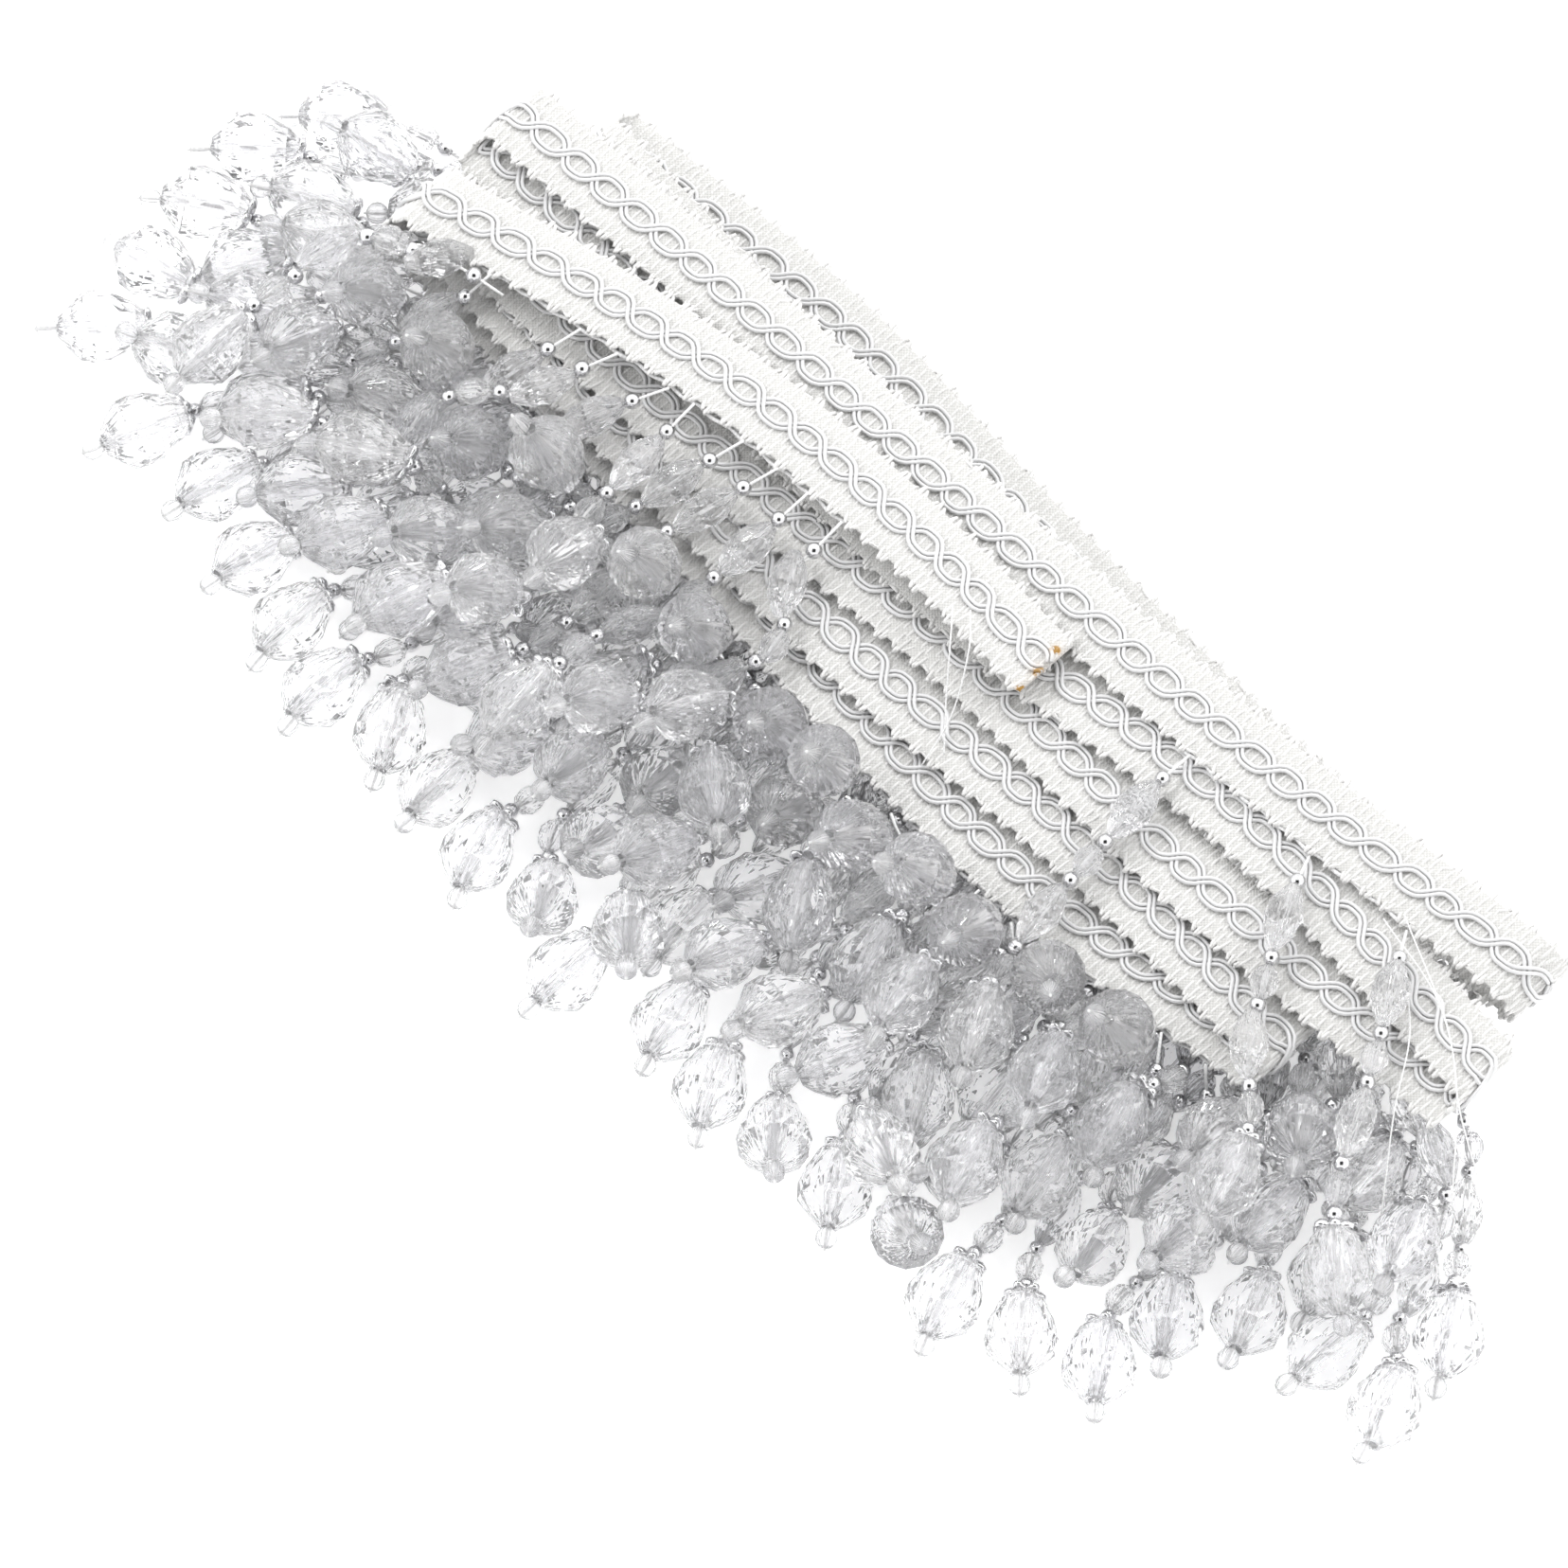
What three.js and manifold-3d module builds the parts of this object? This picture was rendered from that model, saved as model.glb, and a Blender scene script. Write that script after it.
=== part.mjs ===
// A length of white gimp braid with a fringe of bead strands, folded back and forth into a loose flat bundle.
// Millimetres. X runs along the braid, the fringe falls towards -Y, and +Z is up from the table.
import * as THREE from "three";
import { mergeVertices } from "three/addons/utils/BufferGeometryUtils.js";
import Module from "manifold-3d";

const wasm = await Module();
wasm.setup();

// Driving dimensions
const BRAID_WIDTH = 15;
const BRAID_THICKNESS = 1.7;
const STATION_GAP = 21; // between the sections of a straight run of braid
const FOLD_STEPS = 8; // sections around each end fold
const TAPE_WIDTH = 2; // the strip that a row of strands is sewn to
const TAPE_THICKNESS = 1.2;
const PARTED = 0.3; // between pieces that would touch
const TUCK = 3.2; // from the edge of a run to a tape that passes behind it
const LONGEST_TAPE_STEP = 16;
const SIDES = 4; // of a strand

// The runs of braid in their order along the ribbon, from the cut end that shows to the one that is hidden.
// left and right are where the end folds begin; y and z are the run's middle at five even stations, left to right.
const RUNS = {
  top: { left: -111, right: 29, y: [10.9, 17.3, 21.2, 21.2, 18.5], z: [30.4, 31, 31.2, 31.2, 31] },
  front_low: { left: -111, right: 106, y: [9.4, 2.4, -4.6, -9, -5], z: [18.5, 19.4, 19.8, 20, 20] },
  front_mid: { left: -104, right: 106, y: [10.4, 4.4, 1.4, 1.9, -1.6], z: [22.2, 22.2, 22.2, 22.2, 22.2] },
  front_high: { left: -104, right: 135, y: [13.4, 11.4, 12.9, 9.6, 10.6], z: [24.4, 24.4, 24.4, 24.4, 24.2] },
  middle: { left: -115, right: 135, y: [26.4, 23.4, 19.4, 23.2, 16.9], z: [26.6, 26.6, 26.6, 26.6, 26.4] },
  back_high: { left: -115, right: 124, y: [33.4, 33.4, 32, 31.7, 34.8], z: [29.5, 29, 28.8, 28.8, 28.4] },
  back_3: { left: -104, right: 124, y: [40, 38, 37, 36.5, 37.5], z: [15.5, 16, 16, 16, 17] },
  back_2: { left: -104, right: 116, y: [42, 39.5, 39, 39, 40], z: [10.6, 10.6, 10.6, 10.6, 10.6] },
  back_1: { left: -111, right: 116, y: [48, 43, 41, 40.5, 41], z: [5.6, 5.6, 5.6, 5.6, 5.6] },
  floor: { left: -111, right: 104, y: [53.5, 54.5, 49, 45, 43.5], z: [0.85, 0.85, 0.85, 0.85, 0.85] },
};
const BACK_RUNS = ["back_3", "back_2", "back_1", "floor"];
const ALL_BELOW_TOP = ["front_low", "front_mid", "front_high", "middle", ...BACK_RUNS];

// The rows of strands. run: the braid they hang from; from and to: the first and last strand's x;
// behind: the run whose rear edge the tape stays behind, or null where it lies along the lower edge;
// over: the runs that the strands lie on, where every other run lies on the strands;
// turn: how far the whole row is turned from the fan; curl: the most that a strand bends along its length.
const ROWS = [
  ["fringe_back_3", "back_3", -92, 108, 15, null, BACK_RUNS, 0, 0],
  ["fringe_back_high", "back_high", -102, 112, 18, "middle", BACK_RUNS, -4, 0],
  ["fringe_middle_left", "middle", -104, 16, 10, "front_high", BACK_RUNS, 0, 60],
  ["fringe_middle_right", "middle", 38, 126, 9, "front_high", BACK_RUNS, -4, 60],
  ["fringe_front_high", "front_high", -98, 126, 20, "front_mid", BACK_RUNS, 2, 70],
  ["fringe_front_mid", "front_mid", -98, 98, 19, "front_low", BACK_RUNS, 0, 90],
  ["fringe_front_low", "front_low", -104, 98, 21, null, BACK_RUNS, 3, 120],
  ["fringe_top", "top", -104, -14, 11, null, ALL_BELOW_TOP, 5, 120],
  ["fringe_crossing", "back_high", 58, 112, 3, null, ALL_BELOW_TOP, 10, 20],
].map((row) => {
  const [node, run, from, to, strands, behind, over, turn, curl] = row;
  return { node, run, from, to, strands, behind, over, turn, curl };
});

// The fan of the strands: the angle from straight forward, positive to the right, at places along x.
const FAN = [
  { x: -115, angle: -54 },
  { x: -80, angle: -43 },
  { x: -40, angle: -20 },
  { x: 10, angle: -4 },
  { x: 70, angle: 4 },
  { x: 110, angle: 16 },
  { x: 134, angle: 32 },
];
const FAN_SPREAD = 12; // how far one strand may differ, in degrees
const TURNED_BACK = 1 / 3; // of its bend, so that a bent strand still ends near the fan's line
const TRIES = 30; // ways to lay a strand, of which the one whose end bead lies freest is kept
const END_BEAD_MARGIN = 11; // from the middle of an end bead to the braid's front edge
const FREE_ENOUGH = 22; // from one end bead to the next
const FARTHEST_END = 152; // of an end bead from the middle, along x
const ROOT_SPREAD = 0.25; // how far a root may be from its even place, as a share of the gap between two

// The outline of one strand: the distance from its root and its radius, from thread to stopper bead.
const END_BEAD_RADIUS = 6.8;
const STRAND_RINGS = [
  { at: 5.5, radius: 0.7 },
  { at: 10, radius: 2.8 },
  { at: 15.5, radius: 2.8 },
  { at: 20.5, radius: 1.8 },
  { at: 25, radius: 2.4 },
  { at: 36.8, radius: 3.4 },
  { at: 44.5, radius: 1.8 },
  { at: 49, radius: 2.4 },
  { at: 54.5, radius: 1.6 },
  { at: 62.5, radius: END_BEAD_RADIUS },
  { at: 71.5, radius: 2 },
];
const THREAD_RADIUS = 0.45;
const STRAND_LENGTH = 76;

// The balls that keep the strands apart while they settle.
const BALLS = [
  { at: 0, radius: 0.8 },
  { at: 4.5, radius: 2 },
  { at: 10, radius: 3 },
  { at: 14.5, radius: 3.2 },
  { at: 19, radius: 2.4 },
  { at: 23.5, radius: 2.5 },
  { at: 28, radius: 2.7 },
  { at: 32.5, radius: 3.1 },
  { at: 37, radius: 3.5 },
  { at: 41.5, radius: 2.8 },
  { at: 46, radius: 2.2 },
  { at: 50.5, radius: 2.4 },
  { at: 54.5, radius: 2.3 },
  { at: 58.5, radius: 4.9 },
  { at: 62.5, radius: 7 },
  { at: 67, radius: 5 },
  { at: 71.5, radius: 2.8 },
  { at: 76, radius: 1.2 },
];
const END_BEAD_BALL = 14; // the one in the middle of the end bead
const STIFF_FROM = 12; // the ball where the rigid end bead begins
const BALL_GAP = 0.4;
const PAST_END = 8; // how far beyond a run's ends its fold keeps the strands off
const BEND = 0.5; // how strongly a strand resists bending
const SETTLE_ROUNDS = 700;
const LAST_ROUNDS = 220; // the last of them, in which the strands only move apart
const LOWEST_LEVEL = 2.5; // of the first row before it settles
const LEVEL_STEP = 2; // from each row to the next
const FULL_LAYER = 180; // the bend, in degrees, that raises a strand from its own row's layer to the next
const LIFT = 0.3; // how strongly a later row is pushed up over an earlier one
const END_BEAD_LIFT = 0.7; // and an end bead over the thin parts of any row
const OVER_TAPE = 0.5; // how strongly a strand is pushed over the tapes of earlier rows and under later ones
const SINK = 0.22; // how far a ball sinks in a round
const HOLD = 0.03; // how strongly a strand keeps to its own line
const CELL = 14.5; // of the grid that finds neighbours, wider than two of the largest balls
const SEED = 23;

// Where two strands still touch after they have settled, both are made slimmer there.
const SLIM_ROUNDS = 30;
const SLIMMER = 0.9;
const SLIM_REACH = 7; // from the touch, along a strand

const braidMaterial = new THREE.MeshStandardMaterial({ color: 0xf1f0ec, roughness: 0.85, metalness: 0 });
const beadMaterial = new THREE.MeshStandardMaterial({ color: 0xdcdde6, roughness: 0.12, metalness: 0 });

function randomSource(seed) {
  let state = seed;
  return () => {
    state = (state * 1664525 + 1013904223) % 4294967296;
    return state / 4294967296;
  };
}

// The smooth curve through evenly spaced values, at a share from 0 to 1.
function through(values, share) {
  const last = values.length - 1;
  const place = Math.min(Math.max(share, 0), 1) * last;
  const i = Math.min(Math.floor(place), last - 1);
  const t = place - i;
  const b = values[i];
  const c = values[i + 1];
  const a = i > 0 ? values[i - 1] : 2 * b - c;
  const d = i + 2 <= last ? values[i + 2] : 2 * c - b;
  return 0.5 * (2 * b + (c - a) * t + (2 * a - 5 * b + 4 * c - d) * t * t + (3 * b - a - 3 * c + d) * t * t * t);
}

function middleOf(run, x) {
  const share = (x - run.left) / (run.right - run.left);
  return { y: through(run.y, share), z: through(run.z, share) };
}

function fanAngle(x) {
  const at = FAN.findIndex((row) => row.x > x);
  if (at === 0) return FAN[0].angle;
  if (at < 0) return FAN[FAN.length - 1].angle;
  const share = (x - FAN[at - 1].x) / (FAN[at].x - FAN[at - 1].x);
  return THREE.MathUtils.lerp(FAN[at - 1].angle, FAN[at].angle, share);
}

// A closed tube through sections of the same number of corners, capped flat or brought to a point.
function loft(sections, tip = null) {
  const corners = sections[0].length;
  const positions = sections.flat().flatMap((p) => [p.x, p.y, p.z]);
  const faces = [];
  for (let s = 0; s + 1 < sections.length; s += 1) {
    for (let k = 0; k < corners; k += 1) {
      const a = s * corners + k;
      const b = s * corners + ((k + 1) % corners);
      faces.push(a, b, b + corners, a, b + corners, a + corners);
    }
  }
  const end = (sections.length - 1) * corners;
  for (let k = 1; k + 1 < corners; k += 1) {
    faces.push(0, k + 1, k);
    if (!tip) faces.push(end, end + k, end + k + 1);
  }
  if (tip) {
    positions.push(tip.x, tip.y, tip.z);
    const point = positions.length / 3 - 1;
    for (let k = 0; k < corners; k += 1) faces.push(end + k, end + ((k + 1) % corners), point);
  }
  const geometry = new THREE.BufferGeometry();
  geometry.setAttribute("position", new THREE.Float32BufferAttribute(positions, 3));
  geometry.setIndex(faces);
  return geometry;
}

function solidOf(geometry) {
  const merged = mergeVertices(geometry, 1e-4);
  return new wasm.Manifold(
    new wasm.Mesh({
      numProp: 3,
      vertProperties: new Float32Array(merged.attributes.position.array),
      triVerts: new Uint32Array(merged.index.array),
    }),
  );
}

function geometryOf(solid) {
  const mesh = solid.getMesh();
  const geometry = new THREE.BufferGeometry();
  geometry.setAttribute("position", new THREE.Float32BufferAttribute(mesh.vertProperties, 3));
  geometry.setIndex(Array.from(mesh.triVerts));
  return geometry;
}

// The middle line of the whole ribbon: every run in turn, joined by half-round end folds.
function ribbonLine() {
  const names = Object.keys(RUNS);
  const line = [];
  names.forEach((name, order) => {
    const run = RUNS[name];
    const steps = Math.ceil((run.right - run.left) / STATION_GAP);
    const leftwards = order % 2 === 0;
    for (let i = 0; i <= steps; i += 1) {
      const share = leftwards ? 1 - i / steps : i / steps;
      const x = THREE.MathUtils.lerp(run.left, run.right, share);
      const { y, z } = middleOf(run, x);
      line.push(new THREE.Vector3(x, y, z));
    }
    const next = RUNS[names[order + 1]];
    if (!next) return;
    const side = leftwards ? -1 : 1;
    const start = line[line.length - 1];
    const nextX = leftwards ? next.left : next.right;
    const nextMiddle = middleOf(next, nextX);
    const radius = (start.z - nextMiddle.z) / 2;
    for (let i = 1; i < FOLD_STEPS; i += 1) {
      const share = i / FOLD_STEPS;
      const turn = Math.PI * share;
      line.push(
        new THREE.Vector3(
          THREE.MathUtils.lerp(start.x, nextX, share) + side * Math.abs(radius) * Math.sin(turn),
          THREE.MathUtils.lerp(start.y, nextMiddle.y, (1 - Math.cos(turn)) / 2),
          (start.z + nextMiddle.z) / 2 + radius * Math.cos(turn),
        ),
      );
    }
  });
  return line;
}

// A flat strip of a width along Y and a thickness square to its line in the XZ plane.
function strip(line, width, thickness) {
  const sections = line.map((p, i) => {
    const before = line[Math.max(i - 1, 0)];
    const after = line[Math.min(i + 1, line.length - 1)];
    const along = new THREE.Vector3(after.x - before.x, 0, after.z - before.z).normalize();
    const across = new THREE.Vector3(0, width / 2, 0);
    const up = new THREE.Vector3(-along.z, 0, along.x).multiplyScalar(thickness / 2);
    return [
      p.clone().sub(across).sub(up),
      p.clone().add(across).sub(up),
      p.clone().add(across).add(up),
      p.clone().sub(across).add(up),
    ];
  });
  return loft(sections);
}

// Where the tape of a row runs at x: along the lower edge, or under the braid and behind the next run's rear edge.
function tapeAt(row, x) {
  const own = middleOf(RUNS[row.run], x);
  if (row.behind === null) {
    return new THREE.Vector3(x, own.y - BRAID_WIDTH / 2 - PARTED - TAPE_WIDTH / 2, own.z);
  }
  const lowest = own.y - BRAID_WIDTH / 2 + TAPE_WIDTH;
  const tucked = middleOf(RUNS[row.behind], x).y + BRAID_WIDTH / 2 + TUCK;
  const z = own.z - BRAID_THICKNESS / 2 - PARTED - TAPE_THICKNESS / 2;
  return new THREE.Vector3(x, Math.max(lowest, tucked), z);
}

function tapeLine(row) {
  const margin = 2 * TAPE_WIDTH;
  const steps = Math.max(2, Math.ceil((row.to - row.from) / LONGEST_TAPE_STEP));
  return Array.from({ length: steps + 1 }, (_, i) =>
    tapeAt(row, THREE.MathUtils.lerp(row.from - margin, row.to + margin, i / steps)),
  );
}

// The place on a line of points with rising x.
function onLine(line, x) {
  const i = Math.min(Math.max(line.findIndex((p) => p.x > x) - 1, 0), line.length - 2);
  return line[i].clone().lerp(line[i + 1], (x - line[i].x) / (line[i + 1].x - line[i].x));
}

// The balls of a strand that leaves its root at an angle, bends evenly along its length and sinks to a level.
function laidLine(root, level, angle, curl) {
  const place = root.clone();
  let gone = 0;
  return BALLS.map(({ at }) => {
    const fallen = Math.max(0, Math.min(at, root.z - level));
    const out = at - fallen * 0.6;
    const heading = angle + (curl * (gone + out)) / 2 / STRAND_LENGTH;
    place.x += Math.sin(heading) * (out - gone);
    place.y -= Math.cos(heading) * (out - gone);
    gone = out;
    return new THREE.Vector3(place.x, place.y, Math.max(root.z - fallen, BALLS[0].radius));
  });
}

// How free the place of an end bead is: its distance from the nearest other one, or less than none under the braid.
function freedom(end, others) {
  if (Math.abs(end.x) > FARTHEST_END) return 0;
  const edge = middleOf(RUNS.front_low, end.x).y - BRAID_WIDTH / 2;
  const beyond = edge - END_BEAD_MARGIN - end.y;
  if (beyond < 0 && Math.abs(end.x) < RUNS.front_low.right + END_BEAD_MARGIN) return beyond;
  return Math.min(FREE_ENOUGH, ...others.map((other) => Math.hypot(end.x - other.x, end.y - other.y)));
}

// The strands before they settle. Each is laid in several ways along the fan, and the freest is kept.
function laidOut() {
  const random = randomSource(SEED);
  const strands = [];
  ROWS.forEach((row, order) => {
    const line = tapeLine(row);
    for (let i = 0; i < row.strands; i += 1) {
      const place = i + (random() * 2 - 1) * ROOT_SPREAD;
      const wanted = THREE.MathUtils.lerp(row.from, row.to, place / (row.strands - 1));
      const x = THREE.MathUtils.clamp(wanted, row.from - TAPE_WIDTH, row.to + TAPE_WIDTH);
      const root = onLine(line, x);
      const level = row.over === ALL_BELOW_TOP ? root.z : LOWEST_LEVEL + order * LEVEL_STEP;
      const others = strands.map((strand) => strand.end);
      const ways = Array.from({ length: TRIES }, () => {
        const curl = (random() * 2 - 1) * row.curl;
        const angle = fanAngle(x) + row.turn + (random() * 2 - 1) * FAN_SPREAD - curl * TURNED_BACK;
        const balls = laidLine(root, level, THREE.MathUtils.degToRad(angle), THREE.MathUtils.degToRad(curl));
        const end = balls[END_BEAD_BALL].clone();
        return { balls, end, freedom: freedom(end, others), layer: order + Math.abs(curl) / FULL_LAYER };
      });
      const best = ways.reduce((a, b) => (b.freedom > a.freedom ? b : a));
      strands.push({ ...best, row, order, free: best.freedom > 0, line: best.balls.map((ball) => ball.clone()) });
    }
  });
  return strands;
}

// Pushes a ball out of a run of braid, to the side of it where the strand belongs.
function clearOfRun(ball, radius, run, over, own) {
  const reach = radius + BALL_GAP;
  if (ball.x < run.left - PAST_END || ball.x > run.right + PAST_END) return;
  const { y, z } = middleOf(run, ball.x);
  const beyond = Math.abs(ball.y - y) - BRAID_WIDTH / 2;
  if (beyond >= reach) return;
  const round = beyond > 0 ? Math.sqrt(reach * reach - beyond * beyond) : reach;
  const side = over ? 1 : -1;
  const allowed = z + side * (BRAID_THICKNESS / 2 + round);
  const depth = side * (allowed - ball.z);
  if (depth <= 0) return;
  const sideways = reach - beyond;
  if (own && depth > 2 * BRAID_THICKNESS + 2 * round) return;
  if (sideways < depth && beyond > -reach) ball.y += Math.sign(ball.y - y) * sideways * 0.5;
  else ball.z += side * depth;
}

function keepLengths(strand) {
  const { balls } = strand;
  for (let pass = 0; pass < 3; pass += 1) {
    for (let i = 1; i < balls.length; i += 1) {
      pull(balls, i - 1, i, 1);
      if (i >= 2) pull(balls, i - 2, i, i > STIFF_FROM + 1 ? 1 : BEND);
    }
    for (let i = STIFF_FROM + 4; i < balls.length; i += 1) pull(balls, STIFF_FROM, i, 1);
  }
}

// Brings two balls of a strand to their distance along it; the root stays where it is sewn.
function pull(balls, i, j, strength) {
  const wanted = BALLS[j].at - BALLS[i].at;
  const way = balls[j].clone().sub(balls[i]);
  const length = way.length() || 1e-6;
  const move = way.multiplyScalar(((length - wanted) / length) * strength);
  if (i === 0) {
    balls[j].sub(move);
    return;
  }
  balls[i].addScaledVector(move, 0.5);
  balls[j].addScaledVector(move, -0.5);
}

// Fixed grains along every tape, so that the strands of other rows lie clear of it.
function tapeGrains() {
  return ROWS.flatMap((row, order) => {
    const line = tapeLine(row);
    const from = line[0].x;
    const to = line[line.length - 1].x;
    const count = Math.ceil((to - from) / TAPE_WIDTH);
    return Array.from({ length: count + 1 }, (_, i) => {
      const place = onLine(line, THREE.MathUtils.lerp(from, to, i / count));
      return { place, radius: TAPE_WIDTH * 0.6, order, layer: order, index: 0, fixed: true };
    });
  });
}

// Every ball of every strand as a grain, but for the one in the tape.
function strandGrains(strands) {
  return strands.flatMap((strand) =>
    strand.balls.slice(1).map((place, i) => ({
      place,
      radius: BALLS[i + 1].radius,
      order: strand.order,
      layer: strand.layer,
      index: i + 1,
      strand,
      fixed: false,
    })),
  );
}

function pushApart(grains, calm) {
  const cells = new Map();
  const cellOf = (place) => [Math.floor(place.x / CELL), Math.floor(place.y / CELL)];
  grains.forEach((grain, id) => {
    const key = cellOf(grain.place).join();
    if (!cells.has(key)) cells.set(key, []);
    cells.get(key).push(id);
  });
  grains.forEach((grain, id) => {
    if (grain.fixed) return;
    const [cx, cy] = cellOf(grain.place);
    for (let dx = -1; dx <= 1; dx += 1) {
      for (let dy = -1; dy <= 1; dy += 1) {
        for (const other of cells.get(`${cx + dx},${cy + dy}`) ?? []) {
          const met = grains[other];
          if (!met.fixed && other <= id) continue;
          if (met.fixed && met.order === grain.order) continue;
          if (met.strand === grain.strand && Math.abs(met.index - grain.index) < 4) continue;
          separate(grain, met, calm * liftOf(grain, met));
        }
      }
    }
  });
}

// How far one ball rises over another: free end beads over thin parts, otherwise the later row over the earlier.
function liftOf(one, other) {
  const large = (isFreeEnd(one) ? 1 : 0) - (isFreeEnd(other) ? 1 : 0);
  return large === 0 ? LIFT * Math.sign(one.layer - other.layer) : END_BEAD_LIFT * large;
}

function isFreeEnd(grain) {
  return grain.index > STIFF_FROM && grain.strand.free;
}

function separate(one, other, lift) {
  const least = one.radius + other.radius + BALL_GAP;
  const way = one.place.clone().sub(other.place);
  const length = way.length();
  if (length >= least) return;
  way.z += (other.fixed ? OVER_TAPE * Math.sign(one.order - other.order) : lift) * least;
  const move = way.setLength((least - length) / (other.fixed ? 1 : 2));
  one.place.add(move);
  if (!other.fixed) other.place.sub(move);
}

// Lets the strands sink until they lie on the table, on each other and under or over the braid.
function settle(strands) {
  const runs = Object.keys(RUNS);
  const grains = [...strandGrains(strands), ...tapeGrains()];
  for (let round = 0; round < SETTLE_ROUNDS; round += 1) {
    const calm = Math.max(0, 1 - round / (SETTLE_ROUNDS - LAST_ROUNDS));
    for (const strand of strands) {
      strand.balls.forEach((ball, i) => {
        if (i === 0) return;
        ball.z -= calm > 0 ? SINK * (0.15 + calm) : 0;
        ball.x += (strand.line[i].x - ball.x) * HOLD * calm;
        ball.y += (strand.line[i].y - ball.y) * HOLD * calm;
      });
      keepLengths(strand);
    }
    pushApart(grains, calm);
    for (const strand of strands) {
      strand.balls.forEach((ball, i) => {
        if (i === 0) return;
        for (const name of runs) {
          const own = name === strand.row.run;
          if (own && strand.row.behind === null) continue;
          clearOfRun(ball, BALLS[i].radius, RUNS[name], strand.row.over.includes(name), own);
        }
        ball.z = Math.max(ball.z, BALLS[i].radius);
      });
    }
  }
}

function ballLine(balls, at) {
  const i = Math.min(Math.max(BALLS.findIndex((row) => row.at > at) - 1, 0), BALLS.length - 2);
  const share = (at - BALLS[i].at) / (BALLS[i + 1].at - BALLS[i].at);
  return balls[i].clone().lerp(balls[i + 1], share);
}

// One settled strand as a tube of few sides: thread, beads, the large end bead and the point of its stopper.
function strandSolid(strand, extra = 0) {
  const { middles, radii, tip } = strand;
  let side = new THREE.Vector3(1, 0, 0);
  const sections = middles.map((middle, i) => {
    const before = middles[Math.max(i - 1, 0)];
    const after = middles[i + 1] ?? tip;
    const along = after.clone().sub(before).normalize();
    side = side.clone().addScaledVector(along, -side.dot(along)).normalize();
    const level = new THREE.Vector3(-along.y, along.x, 0);
    if (level.length() > 0.5) {
      level.normalize();
      side = level.dot(side) < 0 ? level.negate() : level;
    }
    const other = along.clone().cross(side);
    return Array.from({ length: SIDES }, (_, k) => {
      const turn = (k / SIDES) * 2 * Math.PI;
      return middle
        .clone()
        .addScaledVector(side, Math.cos(turn) * (radii[i] + extra))
        .addScaledVector(other, Math.sin(turn) * (radii[i] + extra));
    });
  });
  return solidOf(loft(sections, tip));
}

function measured(strand) {
  const rings = [{ at: 0, radius: THREAD_RADIUS }, ...STRAND_RINGS];
  strand.middles = rings.map(({ at }) => ballLine(strand.balls, at));
  strand.radii = rings.map(({ radius }) => radius);
  strand.tip = ballLine(strand.balls, STRAND_LENGTH - 1e-6);
  strand.box = new THREE.Box3().setFromPoints([...strand.middles, strand.tip]);
  strand.box.expandByScalar(END_BEAD_RADIUS);
}

// The middle of what two solids share, or null.
function touch(one, other) {
  const shared = one.intersect(other);
  if (shared.isEmpty()) return null;
  const { min, max } = shared.boundingBox();
  return new THREE.Vector3(min[0] + max[0], min[1] + max[1], min[2] + max[2]).divideScalar(2);
}

function slimAt(strand, place) {
  const distances = strand.middles.map((middle) => middle.distanceTo(place));
  const nearest = distances.indexOf(Math.min(...distances));
  strand.radii = strand.radii.map((radius, i) =>
    i > 0 && (i === nearest || distances[i] < SLIM_REACH) ? Math.max(radius * SLIMMER, THREAD_RADIUS) : radius,
  );
}

// Slims the strands until a gap is left between all of them, the braid and the tapes of other rows.
function slim(strands, braid, tapes) {
  const extra = PARTED / 2;
  let changed = new Set(strands);
  const solids = new Map();
  for (let round = 0; round < SLIM_ROUNDS && changed.size > 0; round += 1) {
    for (const strand of changed) solids.set(strand, strandSolid(strand, extra));
    const next = new Set();
    const hit = (strand, place) => {
      if (!place) return;
      slimAt(strand, place);
      next.add(strand);
    };
    strands.forEach((one, i) => {
      if (changed.has(one)) {
        hit(one, touch(solids.get(one), braid));
        tapes.forEach((tape, order) => {
          if (order !== one.order) hit(one, touch(solids.get(one), tape));
        });
      }
      for (const other of strands.slice(i + 1)) {
        if (!changed.has(one) && !changed.has(other)) continue;
        if (!one.box.intersectsBox(other.box)) continue;
        const place = touch(solids.get(one), solids.get(other));
        hit(one, place);
        hit(other, place);
      }
    });
    changed = next;
  }
}

function named(name, geometry, material) {
  const mesh = new THREE.Mesh(geometry, material);
  mesh.name = name;
  return mesh;
}

const trim = new THREE.Group();
const braid = strip(ribbonLine(), BRAID_WIDTH, BRAID_THICKNESS);
trim.add(named("heading", braid, braidMaterial));

const strands = laidOut();
settle(strands);
strands.forEach(measured);
const tapes = ROWS.map((row) => solidOf(strip(tapeLine(row), TAPE_WIDTH, TAPE_THICKNESS)));
slim(strands, solidOf(braid), tapes);
ROWS.forEach((row, order) => {
  const own = strands.filter((strand) => strand.row === row);
  const fringe = own.reduce((whole, strand) => whole.add(strandSolid(strand)), tapes[order]);
  trim.add(named(row.node, geometryOf(fringe), beadMaterial));
});

const box = new THREE.Box3().setFromObject(trim);
trim.position.set(-(box.min.x + box.max.x) / 2, -(box.min.y + box.max.y) / 2, -box.min.z);

export default trim;
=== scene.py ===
"""A white gimp braid with a fringe of clear bead strands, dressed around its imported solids.

Every piece is a surface worked out with numpy in the frame's own metres. The braid follows the folded
ribbon of the solid "heading", and the strands follow the solids of the nine fringes.
"""

import math

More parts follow.
